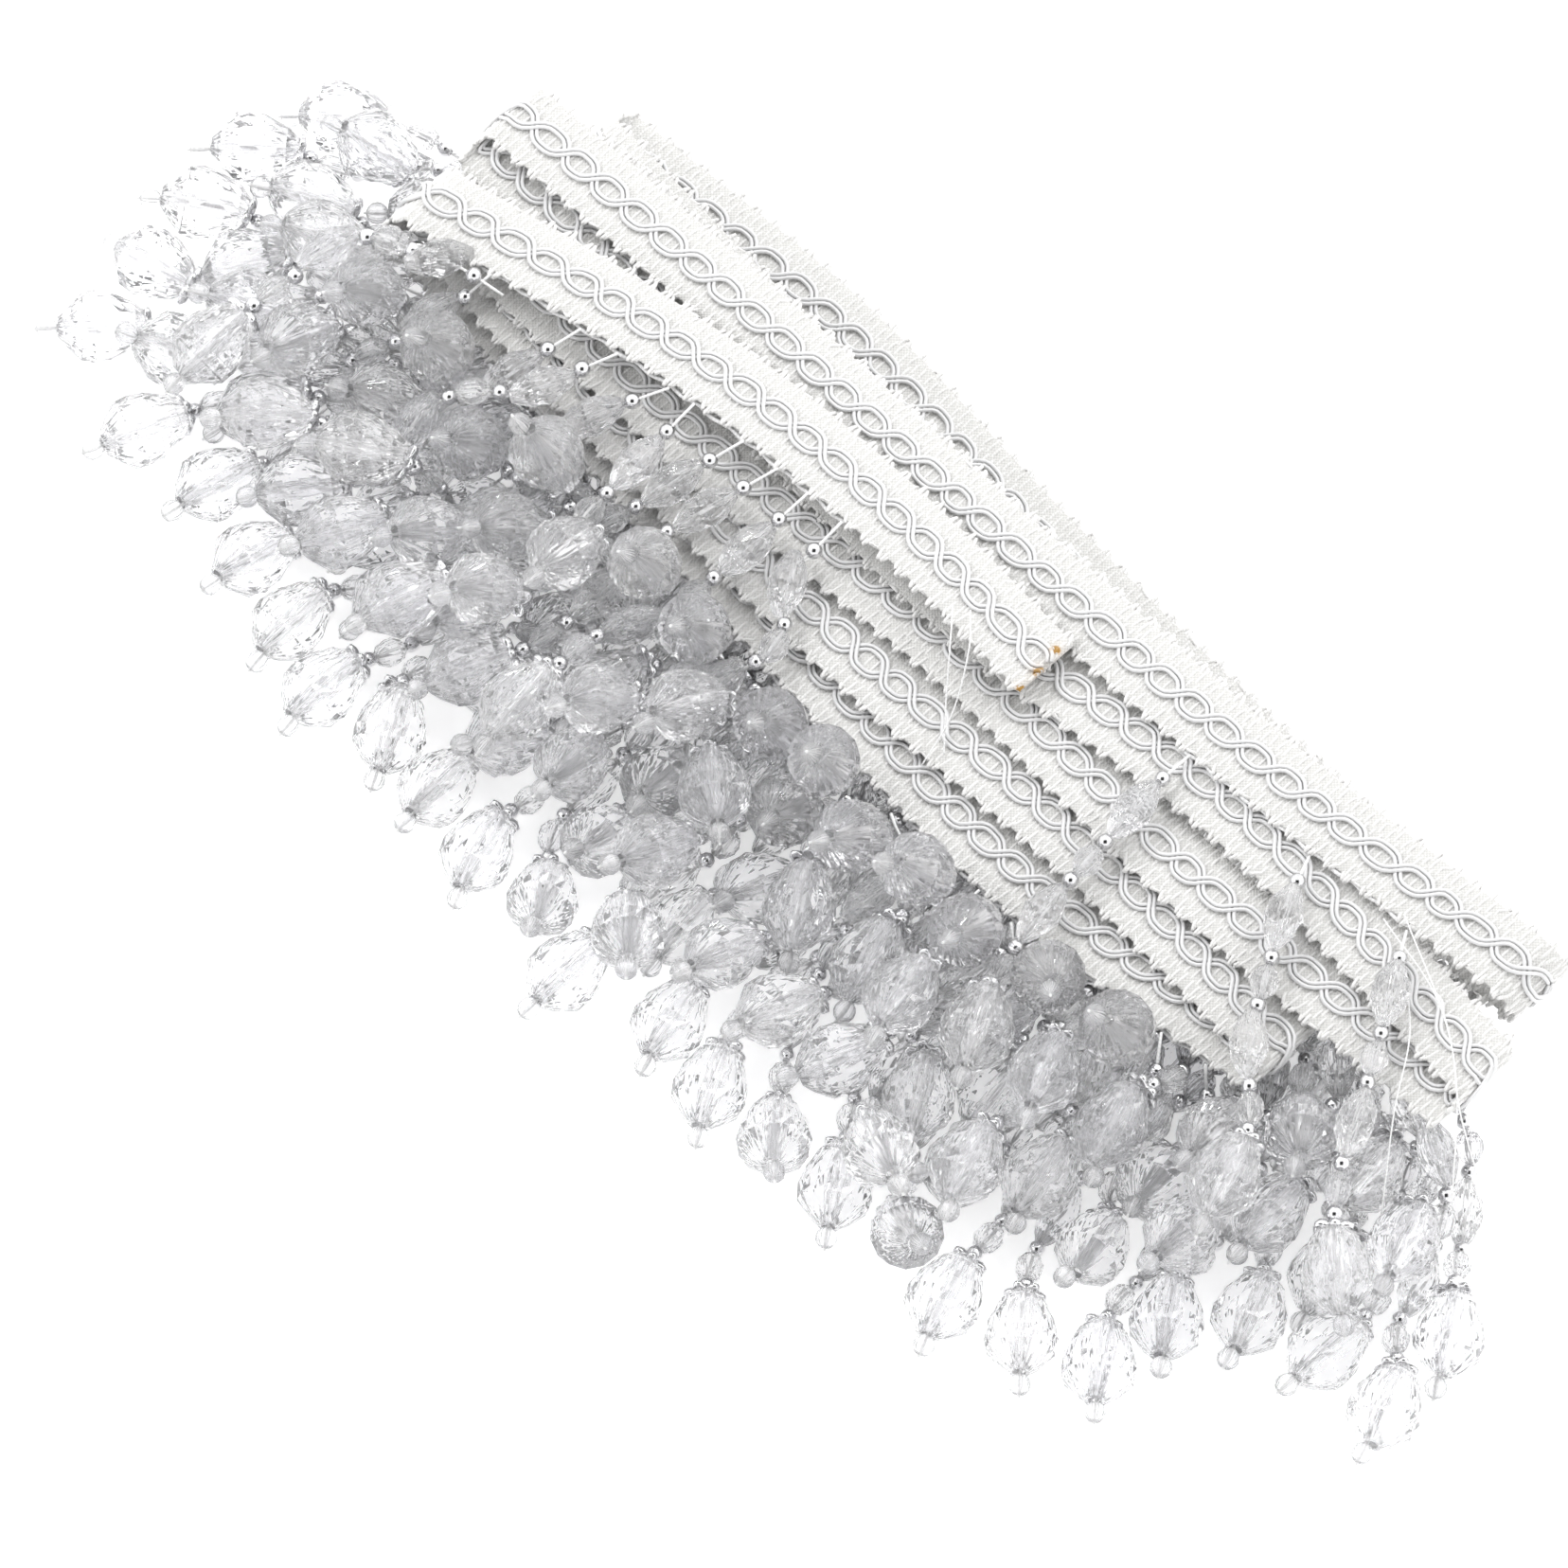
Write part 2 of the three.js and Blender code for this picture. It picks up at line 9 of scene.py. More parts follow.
import bpy
import numpy as np
from bpy.props import FloatProperty, FloatVectorProperty, IntProperty, PointerProperty
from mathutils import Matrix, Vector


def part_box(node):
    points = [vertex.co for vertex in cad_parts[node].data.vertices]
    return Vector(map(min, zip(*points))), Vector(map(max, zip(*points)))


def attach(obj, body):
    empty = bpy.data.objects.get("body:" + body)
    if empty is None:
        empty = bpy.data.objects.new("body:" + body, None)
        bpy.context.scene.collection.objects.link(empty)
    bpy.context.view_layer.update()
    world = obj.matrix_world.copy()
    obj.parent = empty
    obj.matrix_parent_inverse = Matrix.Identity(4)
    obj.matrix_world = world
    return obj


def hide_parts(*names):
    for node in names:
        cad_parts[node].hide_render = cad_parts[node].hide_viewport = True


bl_info = {
    "name": "Beaded fringe trim",
    "version": (1, 0, 0),
    "blender": (4, 5, 0),
    "location": "View3D > Sidebar > Fringe trim",
    "description": "Makes the braid, thread and beads of a folded fringe trim around its solids",
    "category": "Object",
}

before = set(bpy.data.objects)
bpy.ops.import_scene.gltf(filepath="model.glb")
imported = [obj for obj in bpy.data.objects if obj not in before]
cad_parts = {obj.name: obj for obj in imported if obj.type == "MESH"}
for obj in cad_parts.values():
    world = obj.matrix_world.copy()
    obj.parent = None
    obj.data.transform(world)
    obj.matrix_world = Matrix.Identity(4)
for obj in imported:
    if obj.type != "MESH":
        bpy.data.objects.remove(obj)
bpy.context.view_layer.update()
MM = 0.001
BODY = "root"
HEADING = "heading"
FRINGES = [name for name in sorted(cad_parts) if name != HEADING]

# The runs of braid in their order along the ribbon, in millimetres: where the end folds begin, and the
# middle's y and z at five even stations. Every other run, from the first, is laid from right to left.
RUNS = [
    # left, right, y, z
    (-111, 29, (10.9, 17.3, 21.2, 21.2, 18.5), (30.4, 31, 31.2, 31.2, 31)),
    (-111, 106, (9.4, 2.4, -4.6, -9, -5), (18.5, 19.4, 19.8, 20, 20)),
    (-104, 106, (10.4, 4.4, 1.4, 1.9, -1.6), (22.2, 22.2, 22.2, 22.2, 22.2)),
    (-104, 135, (13.4, 11.4, 12.9, 9.6, 10.6), (24.4, 24.4, 24.4, 24.4, 24.2)),
    (-115, 135, (26.4, 23.4, 19.4, 23.2, 16.9), (26.6, 26.6, 26.6, 26.6, 26.4)),
    (-115, 124, (33.4, 33.4, 32, 31.7, 34.8), (29.5, 29, 28.8, 28.8, 28.4)),
    (-104, 124, (40, 38, 37, 36.5, 37.5), (15.5, 16, 16, 16, 17)),
    (-104, 116, (42, 39.5, 39, 39, 40), (10.6, 10.6, 10.6, 10.6, 10.6)),
    (-111, 116, (48, 43, 41, 40.5, 41), (5.6, 5.6, 5.6, 5.6, 5.6)),
    (-111, 104, (53.5, 54.5, 49, 45, 43.5), (0.85, 0.85, 0.85, 0.85, 0.85)),
]
SOLID_BRAID_THICKNESS = 1.7
RUN_STEP = 1.5
FOLD_STEPS = 24
LOWEST = 0.37  # of a cord's middle line over the table

# How far along a strand its solid's rings lie, from the sewing tape to the tip.
RING_PLACES = (1.0, 5.5, 10, 15.5, 20.5, 25, 36.8, 44.5, 49, 54.5, 62.5, 71.5, 76)
TIP_REACH = (4.3, 5.8)  # from a tip to the nearest and the farthest corner of its last ring

# The beads of one strand in millimetres: how far from the root each one's middle is.
SPACERS_AT = (5.5, 20.5, 29.5, 44.5, 53.5)
RICE_AT = (13, 37)
OVALS_AT = (25, 49)
CAP_AT = 54.9
CAP_HEIGHT = 1.5
END_BEAD_AT = 63.2
STOPPER_AT = 72.8

# A strand's thread in millimetres. It reaches in under the braid from its root, and its points are spaced
# from the root to the cap and from the end bead's neck to the knot.
SEWN_IN = 2.4
THREAD_TO_CAP = 52
THREAD_POINTS_TO_CAP = 30
THREAD_FROM_NECK = 54
THREAD_END = 75.2
THREAD_POINTS_TO_END = 12
THREAD_SIDES = 6

# The cord that a fringe is sewn to: where it lies from the strands' roots, how far it reaches past the
# outer ones, and the size of its stitches, all in millimetres.
TAPE_CORD_PLACE = (0, 3, -0.9)
TAPE_CORD_PAST = 2
TAPE_CORD_STEP = 0.6
TAPE_CORD_RADIUS = 0.4
STITCH_SWING = 0.25
STITCH_LENGTH = 1.1  # of one radian of its wave

# Brown marks of the hot knife at the cut end, in millimetres: along the braid, across it, and their radius.
SINGES = ((1.3, 3.3, 1.3), (0.3, -1.8, 1.5), (0.4, -6.2, 1.1))

# Loose white threads, in the millimetres of RUNS: points that each one passes through.
LOOSE_THREADS = (
    ((9.9, 14.8, 33.2), (15, 9, 33.4), (20, 3, 27), (25.4, -2.9, 23.2)),
    ((12.5, 16.4, 33.2), (18, 10.5, 33.3), (22, 2.5, 26.5), (24, -6.9, 22.6)),
    ((104, 24, 30.6), (121, 19.5, 30), (134, 11, 27.6), (146, -2, 17)),
    ((106, 27, 30.8), (126, 17, 29.6), (138, 8, 25.6), (151, 2, 15)),
    ((110, 22, 30.4), (122, 12, 29.2), (130, 0, 26), (139, -12, 17.5)),
)
LOOSE_THREAD_POINTS = 40

# The weft yarn: the points of one pass, the sides of its tube, the part of a pass that each turn at an edge
# takes, the pitch of the warps that it rises over, and how much its passes differ, as a normal spread: in
# the wave's phase and height, and in metres along and across the braid.
WEFT_POINTS = 12
WEFT_SIDES = 5
WEFT_TURN = 0.04
WARP_PITCH = 0.0049
WEFT_SPREADS = (0.7, 0.3, 0.0001, 0.0001)

# The chain's cords: their sides, the step along them, how far they stop short of the braid's ends, and the
# normal spreads of a link's length and width as parts of it. The ground cloth: the step along it, and how
# far its edge lies inside the yarn's.
CORD_SIDES = 6
CORD_STEP = 0.0009
CHAIN_INSET = 0.0002
LINK_SPREADS = (0.035, 0.05)
GROUND_STEP = 0.0016
GROUND_INSET = 0.0006

# The stage in metres and degrees. The card behind the camera is the dark that the clear beads mirror.
TABLE_HALF = 3.0
TABLE_HEIGHT = -0.0006
SQUARE = ((-1, -1), (1, -1), (1, 1), (-1, 1))
LIGHTS = (
    # name, place, size, setting of its power
    ("key", (0.25, 0.9, 0.9), 0.9, "key_power"),
    ("fill", (-0.7, -0.5, 0.9), 0.6, "fill_power"),
    ("glint", (-0.9, 0.5, 1.2), 0.16, "glint_power"),
)
AZIMUTH = 45
ELEVATION = 60
TARGET = (0.0007, -0.0169, 0)
SENSOR = 36  # the width of the camera's sensor in millimetres
CARD_BEHIND = 0.4
CARD_HALF = 1.9
CARD_COLOUR = (0.02, 0.02, 0.02, 1)


class BraidSettings(bpy.types.PropertyGroup):
    """Sizes and colours of the braid."""

    width: FloatProperty(name="Width", description="Edge to edge, without the loops that stand proud",
                         default=0.0146, unit="LENGTH")
    base_thickness: FloatProperty(name="Base thickness", description="Of the ground cloth inside the yarns",
                                  default=0.0005, unit="LENGTH")
    pass_pitch: FloatProperty(name="Yarn pitch", description="From one pass of the weft yarn to the next",
                              default=0.00079, unit="LENGTH")
    yarn: FloatProperty(name="Yarn", description="Diameter of the weft yarn", default=0.00068, unit="LENGTH")
    yarn_wave: FloatProperty(name="Yarn wave", description="How far the yarn rises and sinks as it is woven",
                             default=0.00022, unit="LENGTH")
    scallop: FloatProperty(name="Scallop", description="How far each group of loops stands proud of the edge",
                           default=0.0013, unit="LENGTH")
    scallop_pitch: FloatProperty(name="Scallop pitch", description="Length of one group of loops",
                                 default=0.0042, unit="LENGTH")
    scallop_fan: FloatProperty(name="Scallop fan", description="How far the loops of a group lean together",
                               default=0.5)
    link: FloatProperty(name="Link", description="Length of one link of the chain", default=0.0072,
                        unit="LENGTH")
    link_width: FloatProperty(name="Link width", description="Across a link, between its middle lines",
                              default=0.0046, unit="LENGTH")
    cord: FloatProperty(name="Cord", description="Diameter of one satin cord", default=0.00074, unit="LENGTH")
    cord_gap: FloatProperty(name="Cord gap", description="Between the middles of a pair of cords",
                            default=0.00086, unit="LENGTH")
    yarn_colour: FloatVectorProperty(name="Yarn colour", description="Matte viscose", subtype="COLOR",
                                     default=(0.77, 0.765, 0.755))
    cord_colour: FloatVectorProperty(name="Cord colour", description="Satin gimp", subtype="COLOR",
                                     default=(0.74, 0.74, 0.745))
    # The ground cloth's colour is darker than the yarn's: painted shade that shows in the gaps between the
    # yarns.
    ground_gap_shade_colour: FloatVectorProperty(name="Ground colour", description="Cloth between the yarns",
                                       subtype="COLOR", default=(0.68, 0.675, 0.66))
    singe_colour: FloatVectorProperty(name="Singe colour", description="Browned yarn at the cut end",
                                      subtype="COLOR", default=(0.42, 0.24, 0.07))


class FringeSettings(bpy.types.PropertyGroup):
    """Sizes and colours of the strands."""

    spacer: FloatProperty(name="Spacer", description="Diameter of a silvered spacer bead", default=0.003,
                          unit="LENGTH")
    oval_length: FloatProperty(name="Oval length", description="Of a small clear bead", default=0.006,
                               unit="LENGTH")
    oval_width: FloatProperty(name="Oval width", description="Of a small clear bead", default=0.005,
                              unit="LENGTH")
    rice_length: FloatProperty(name="Long bead length", description="Of a long clear bead", default=0.012,
                               unit="LENGTH")
    rice_width: FloatProperty(name="Long bead width", description="Of a long clear bead", default=0.007,
                              unit="LENGTH")
    end_length: FloatProperty(name="End bead length", description="Of the large clear bead", default=0.0155,
                              unit="LENGTH")
    end_width: FloatProperty(name="End bead width", description="Of the large clear bead", default=0.013,
                             unit="LENGTH")
    cap_width: FloatProperty(name="Cap width", description="Across the petals", default=0.0078, unit="LENGTH")
    stopper: FloatProperty(name="Stopper", description="Diameter of the round stopper bead", default=0.004,
                           unit="LENGTH")
    thread: FloatProperty(name="Thread", description="Diameter of the beading thread", default=0.00055,
                          unit="LENGTH")
    seed: IntProperty(name="Seed", description="Of the beads' turns about their thread", default=7)
    clear_colour: FloatVectorProperty(name="Clear colour", description="Tint of the acrylic", subtype="COLOR",
                                      default=(0.994, 0.993, 1.0))
    silver_colour: FloatVectorProperty(name="Silver colour", description="Plating", subtype="COLOR",
                                       default=(0.72, 0.72, 0.73))
    thread_colour: FloatVectorProperty(name="Thread colour", description="White thread", subtype="COLOR",
                                       default=(0.9, 0.9, 0.9))


class StageSettings(bpy.types.PropertyGroup):
    """The table, the lights and the camera."""

    floor_colour: FloatVectorProperty(name="Floor colour", description="White table", subtype="COLOR",
                                      default=(0.97, 0.97, 0.97))
    key_power: FloatProperty(name="Key light", description="Power of the soft light behind the braid",
                             default=4, unit="POWER")
    fill_power: FloatProperty(name="Fill light", description="Power of the soft light over the fringe",
                              default=3, unit="POWER")
    glint_power: FloatProperty(name="Glint light",
                               description="Power of the small light that the beads mirror",
                               default=5, unit="POWER")
    frame_width: FloatProperty(name="Frame width", description="What the camera sees across", default=0.27,
                               unit="LENGTH")
    distance: FloatProperty(name="Distance", description="From the camera to the trim", default=4,
                            unit="LENGTH")
    floor_glow: FloatProperty(name="Floor glow", description="Light of the table itself", default=0.5)
    world_light: FloatProperty(name="World light", description="Of the white room", default=1.4)


# Shapes


def through(values, share):
    """The smooth curve through evenly spaced values, at shares of its length: on each stretch, the cubic
    whose slope at either end is half the difference between the neighbours."""
    values = np.asarray(values, float)
    padded = np.concatenate([[2 * values[0] - values[1]], values, [2 * values[-1] - values[-2]]])
    place = np.clip(share, 0, 1) * (len(values) - 1)
    i = np.minimum(place.astype(int), len(values) - 2)
    t = place - i
    a, b, c, d = padded[i], padded[i + 1], padded[i + 2], padded[i + 3]
    return 0.5 * (2 * b + (c - a) * t + (2 * a - 5 * b + 4 * c - d) * t**2 + (3 * b - a - 3 * c + d) * t**3)


def ribbon_points():
    """The ribbon's middle line in metres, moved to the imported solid. Runs go back and forth, and each fold
    is half a circle in height, whose sideways reach is its radius."""
    parts = []
    ends = []
    for order, (left, right, ys, zs) in enumerate(RUNS):
        share = np.linspace(0, 1, int((right - left) / RUN_STEP) + 1)
        run = np.stack([left + (right - left) * share, through(ys, share), through(zs, share)], axis=1)
        ends.append(run if order % 2 else run[::-1])
    for order, run in enumerate(ends):
        parts.append(run)
        if order + 1 == len(ends):
            break
        start, end = run[-1], ends[order + 1][0]
        share = (np.arange(1, FOLD_STEPS) / FOLD_STEPS)[:, None]
        turn = np.pi * share[:, 0]
        radius = (start[2] - end[2]) / 2
        fold = start + (end - start) * share
        fold[:, 0] += (1 if order % 2 else -1) * abs(radius) * np.sin(turn)
        fold[:, 1] = start[1] + (end[1] - start[1]) * (1 - np.cos(turn)) / 2
        fold[:, 2] = (start[2] + end[2]) / 2 + radius * np.cos(turn)
        parts.append(fold)
    line = np.concatenate(parts)
    low, high = (np.array(corner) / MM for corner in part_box(HEADING))
    across = (low[1] + high[1]) / 2 - (line[:, 1].min() + line[:, 1].max()) / 2
    along = (low[0] + high[0]) / 2 - (line[:, 0].min() + line[:, 0].max()) / 2
    return (line + [along, across, low[2] + SOLID_BRAID_THICKNESS / 2 - line[:, 2].min()]) * MM


def packed_shift():
    """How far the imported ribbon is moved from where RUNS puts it, in metres."""
    _, right, ys, zs = RUNS[0]
    return ribbon_points()[0] - np.array([right, ys[-1], zs[-1]]) * MM


class Ribbon:
    """The folded ribbon by the distance along it."""

    def __init__(self):
        points = ribbon_points()
        steps = np.linalg.norm(np.diff(points, axis=0), axis=1)
        self.at = np.concatenate([[0], np.cumsum(steps)])
        self.points = points
        self.length = self.at[-1]
        ways = np.gradient(points, axis=0)
        normal = np.stack([-ways[:, 2], np.zeros(len(ways)), ways[:, 0]], axis=1)
        self.normals = normal / np.linalg.norm(normal, axis=1, keepdims=True)

    def place(self, along, across, up):
        """The point on the ribbon: its middle at that distance, moved across it along Y and up its normal."""
        middle = np.stack([np.interp(along, self.at, self.points[:, k]) for k in range(3)], axis=-1)
        normal = np.stack([np.interp(along, self.at, self.normals[:, k]) for k in range(3)], axis=-1)
        normal /= np.linalg.norm(normal, axis=-1, keepdims=True)
        middle = middle + normal * np.asarray(up)[..., None]
        middle[..., 1] += across
        middle[..., 2] = np.maximum(middle[..., 2], LOWEST * MM)
        return middle


def grid_faces(rows, sides, copies=1, ring=True):
    """Triangles of a grid of rows by sides, closed round its sides if it is a ring, for each copy."""
    r, k = np.meshgrid(np.arange(rows - 1), np.arange(sides if ring else sides - 1), indexing="ij")
    a = r * sides + k
    b = r * sides + (k + 1) % sides
    quads = np.stack([a, b, b + sides, a + sides], axis=-1).reshape(-1, 4)
    faces = np.concatenate([quads[:, [0, 1, 2]], quads[:, [0, 2, 3]]])
    return (faces[None] + (np.arange(copies) * rows * sides)[:, None, None]).reshape(-1, 3)


def cap_faces(rows, sides, copies=1):
    """A fan over the first and the last ring of each copy."""
    k = np.arange(1, sides - 1)
    first = np.stack([np.zeros_like(k), k + 1, k], axis=1)
    last = np.stack([np.zeros_like(k), k, k + 1], axis=1) + (rows - 1) * sides
    fans = np.concatenate([first, last])
    return (fans[None] + (np.arange(copies) * rows * sides)[:, None, None]).reshape(-1, 3)


def tubes(paths, radius, sides):
    """Round tubes on paths of the same length: at each point a circle square to the path, whose first
    direction is level with the table. Ends are capped."""
    ways = np.gradient(paths, axis=1)
    ways /= np.linalg.norm(ways, axis=2, keepdims=True) + 1e-12
    side = np.cross(np.broadcast_to([0.0, 0.0, 1.0], ways.shape), ways)
    size = np.linalg.norm(side, axis=2, keepdims=True)
    side = np.where(size > 1e-3, side / (size + 1e-12), [1.0, 0.0, 0.0])
    other = np.cross(ways, side)
    turn = np.arange(sides) * 2 * np.pi / sides
    radius = np.broadcast_to(radius, paths.shape[:2])[..., None, None]
    circle = np.cos(turn)[:, None] * side[:, :, None] + np.sin(turn)[:, None] * other[:, :, None]
    points = paths[:, :, None] + radius * circle
    copies, rows = paths.shape[:2]
    faces = np.concatenate([grid_faces(rows, sides, copies), cap_faces(rows, sides, copies)])
    return points.reshape(-1, 3), faces


def turned(profile, sides, half_turns=None, capped=True):
    """A bead about its Z axis: rings of the profile's (height, radius), each turned by its number of half
    steps. Its ends are capped, or else its last ring is the first one again, which closes it to a torus."""
    profile = np.asarray(profile, float)
    half = np.zeros(len(profile)) if half_turns is None else np.asarray(half_turns, float)
    turn = (np.arange(sides) + half[:, None] / 2) * 2 * np.pi / sides
    ring = np.stack([np.cos(turn), np.sin(turn), np.ones_like(turn)], axis=-1)
    points = ring * np.stack([profile[:, 1], profile[:, 1], profile[:, 0]], axis=-1)[:, None]
    faces = grid_faces(len(profile), sides)
    if capped:
        return points.reshape(-1, 3), np.concatenate([faces, cap_faces(len(profile), sides)])
    last = (len(profile) - 1) * sides
    return points.reshape(-1, 3)[:last], np.where(faces >= last, faces - last, faces)


def strung(bead, places, ways, rolls, sizes):
    """Copies of a bead: each one scaled, its Z axis laid along its thread and turned about it by its roll."""
    points, faces = bead
    helper = np.where(np.abs(ways[:, 2:3]) < 0.9, [0.0, 0.0, 1.0], [1.0, 0.0, 0.0])
    x = np.cross(helper, ways)
    x /= np.linalg.norm(x, axis=1, keepdims=True)
    y = np.cross(ways, x)
    c, s = np.cos(rolls)[:, None], np.sin(rolls)[:, None]
    axes = np.stack([c * x + s * y, c * y - s * x, ways], axis=1)
    made = places[:, None] + np.einsum("pk,bkj->bpj", points, axes) * sizes[:, None, None]
    all_faces = (faces[None] + (np.arange(len(places)) * len(points))[:, None, None]).reshape(-1, 3)
    return made.reshape(-1, 3), all_faces


def neighbours(edges, chosen, seen):
    """The vertices that share an edge with the chosen ones and haven't been seen."""
    touching = edges[np.isin(edges, chosen).any(axis=1)]
    return np.setdiff1d(touching, seen)


def strand_rings(node):
    """The middles of every strand's rings in a fringe's solid, from tape to tip, in metres. A tip is a
    vertex with four neighbours at its distance. They are its last ring, and each further ring is what the
    edges of the one before lead to."""
    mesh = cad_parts[node].data
    points = np.empty(len(mesh.vertices) * 3, np.float32)
    mesh.vertices.foreach_get("co", points)
    corners = np.empty(len(mesh.loops), np.int32)
    mesh.loops.foreach_get("vertex_index", corners)
    points = points.reshape(-1, 3).astype(float)
    _, first, merged = np.unique(np.round(points / 1e-6).astype(np.int64), axis=0, return_index=True,
                                 return_inverse=True)
    points = points[first]
    faces = merged.reshape(-1)[corners].reshape(-1, 3)
    edges = np.unique(np.sort(np.concatenate([faces[:, [0, 1]], faces[:, [1, 2]], faces[:, [2, 0]]]), axis=1),
                      axis=0)
    degree = np.bincount(edges.ravel(), minlength=len(points))
    strands = []
    for tip in np.flatnonzero(degree == 4):
        ring = neighbours(edges, [tip], [tip])
        reach = np.linalg.norm(points[ring] - points[tip], axis=1) / MM
        if reach.min() < TIP_REACH[0] or reach.max() > TIP_REACH[1]:
            continue
        middles = [points[tip]]
        seen = np.array([tip])
        for _ in RING_PLACES[1:]:
            middles.append(points[ring].mean(axis=0))
            seen = np.concatenate([seen, ring])
            ring = neighbours(edges, ring, seen)
        strands.append(middles[::-1])
    return np.array(strands)


class Strands:
    """All strands by the distance from their roots."""

    def __init__(self):
        rings = [strand_rings(node) for node in FRINGES]
        self.fringe = np.concatenate([np.full(len(r), i) for i, r in enumerate(rings)])
        self.rings = np.concatenate(rings)
        self.at = np.array(RING_PLACES) * MM

    def place(self, along):
        """Points and directions at distances along every strand: on each stretch between two rings, the
        cubic whose slope at a ring is the difference between its neighbours."""
        along = np.atleast_1d(np.asarray(along, float))
        slopes = np.gradient(self.rings, self.at, axis=1)
        i = np.clip(np.searchsorted(self.at, along, side="right") - 1, 0, len(self.at) - 2)
        step = self.at[i + 1] - self.at[i]
        t = ((along - self.at[i]) / step)[None, :, None]
        a, b = self.rings[:, i], self.rings[:, i + 1]
        ma, mb = slopes[:, i] * step[:, None], slopes[:, i + 1] * step[:, None]
        points = ((2 * t**3 - 3 * t**2 + 1) * a + (t**3 - 2 * t**2 + t) * ma
                  + (3 * t**2 - 2 * t**3) * b + (t**3 - t**2) * mb)
        ways = (6 * t**2 - 6 * t) * (a - b) + (3 * t**2 - 4 * t + 1) * ma + (3 * t**2 - 2 * t) * mb
        return points, ways / np.linalg.norm(ways, axis=2, keepdims=True)


# Pieces


def piece(name, shape, finish, replaced=(), smooth=False, marks=None):
    """A mesh of triangles as one piece of the trim, riding on its body. marks are its point attributes."""
    points, faces = shape
    mesh = bpy.data.meshes.new(name)
    mesh.vertices.add(len(points))
    mesh.vertices.foreach_set("co", np.ascontiguousarray(points, np.float32).ravel())
    mesh.loops.add(len(faces) * 3)
    mesh.loops.foreach_set("vertex_index", np.ascontiguousarray(faces, np.int32).ravel())
    mesh.polygons.add(len(faces))
    mesh.polygons.foreach_set("loop_start", np.arange(0, len(faces) * 3, 3, dtype=np.int32))
    mesh.polygons.foreach_set("use_smooth", np.full(len(faces), smooth))
    for mark, values in (marks or {}).items():
        attribute = mesh.attributes.new(mark, "FLOAT_VECTOR", "POINT")
        attribute.data.foreach_set("vector", np.ascontiguousarray(values, np.float32).ravel())
    mesh.update()
    mesh.validate()
    mesh.materials.append(finish)
    made = bpy.data.objects.new(name, mesh)
    bpy.context.scene.collection.objects.link(made)
    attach(made, BODY)
    if replaced:
        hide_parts(*replaced)
    return made


# Finishes


class Value:
    """A number in a material: arithmetic on it adds the Math nodes."""

    def __init__(self, finish, socket):
        self.finish = finish
        self.socket = socket

    def maths(self, operation, *others):
        return self.finish.add("ShaderNodeMath", {"operation": operation}, dict(enumerate((self, *others))))

    def __add__(self, other):
        return self.maths("ADD", other)

    def __mul__(self, other):
        return self.maths("MULTIPLY", other)

    def __sub__(self, other):
        return self.maths("SUBTRACT", other)

    def __rsub__(self, other):
        return self.finish.add("ShaderNodeMath", {"operation": "SUBTRACT"}, {0: other, 1: self})

    __radd__ = __add__
    __rmul__ = __mul__

    def sine(self):
        return self.maths("SINE")

    def clamped(self, low, high):
        """From 0 at low to 1 at high, smoothly."""
        return self.finish.add("ShaderNodeMapRange", {"interpolation_type": "SMOOTHSTEP"},
                               {0: self, 1: low, 2: high, 3: 0.0, 4: 1.0})


class Finish:
    """A material with a Principled shader; add() takes any node's type, settings and inputs."""

    def __init__(self, name, **constants):
        self.material = bpy.data.materials.new(name)
        self.material.use_nodes = True
        self.tree = self.material.node_tree
        self.shader = self.tree.nodes["Principled BSDF"]
        for socket, value in constants.items():
            self.shader.inputs[socket.replace("_", " ")].default_value = value

    def put(self, socket, value):
        if isinstance(value, Value):
            self.tree.links.new(value.socket, socket)
        elif hasattr(value, "__len__") and len(value) == 3 and socket.type == "RGBA":
            socket.default_value = (*value, 1.0)
        else:
            socket.default_value = value

    def add(self, kind, settings=None, inputs=None, output=0):
        node = self.tree.nodes.new(kind)
        for name, value in (settings or {}).items():
            setattr(node, name, value)
        for name, value in (inputs or {}).items():
            self.put(node.inputs[name], value)
        return Value(self, node.outputs[output])

    def mix(self, factor, one, other):
        return self.add("ShaderNodeMix", {"data_type": "RGBA"}, {0: factor, 6: one, 7: other}, 2)

    def noise(self, scale, detail=2.0):
        """A noise over the object's own coordinates."""
        place = self.add("ShaderNodeTexCoord", output=3)
        return self.add("ShaderNodeTexNoise", {}, {"Scale": scale, "Detail": detail, "Vector": place})

    def mark(self, name):
        """The three numbers of a piece's own point attribute."""
        attribute = self.add("ShaderNodeAttribute", {"attribute_name": name}, output=1)
        split = self.tree.nodes.new("ShaderNodeSeparateXYZ")
        self.tree.links.new(attribute.socket, split.inputs[0])
        return tuple(Value(self, output) for output in split.outputs)

    def colour(self, value):
        self.put(self.shader.inputs["Base Color"], value)

    def roughness(self, value):
        self.put(self.shader.inputs["Roughness"], value)

    def relief(self, height, strength, distance):
        bump = self.add("ShaderNodeBump", {}, {"Strength": strength, "Distance": distance, "Height": height})
        self.tree.links.new(bump.socket, self.shader.inputs["Normal"])


def singed(finish, colour, along, across, burn):
    """Browns the colour in round marks at the ribbon's cut end, each with a pale halo, broken by a noise."""
    patch = finish.noise(1400.0).clamped(0.34, 0.56)
    core, halo = 0.0, 0.0
    for at, off, size in SINGES:
        x, y = along - at * MM, across - off * MM
        far = (x * x + y * y).maths("SQRT")
        core = (1.0 - far.clamped(size * 0.3 * MM, size * MM)) + core
        halo = (1.0 - far.clamped(size * 0.6 * MM, size * 2.6 * MM)) + halo
    tan = finish.mix((halo * 0.5).clamped(0.0, 1.0) * 0.7, colour, tuple(0.45 * c + 0.5 for c in burn))
    return finish.mix((core * patch).clamped(0.0, 0.8), tan, burn)


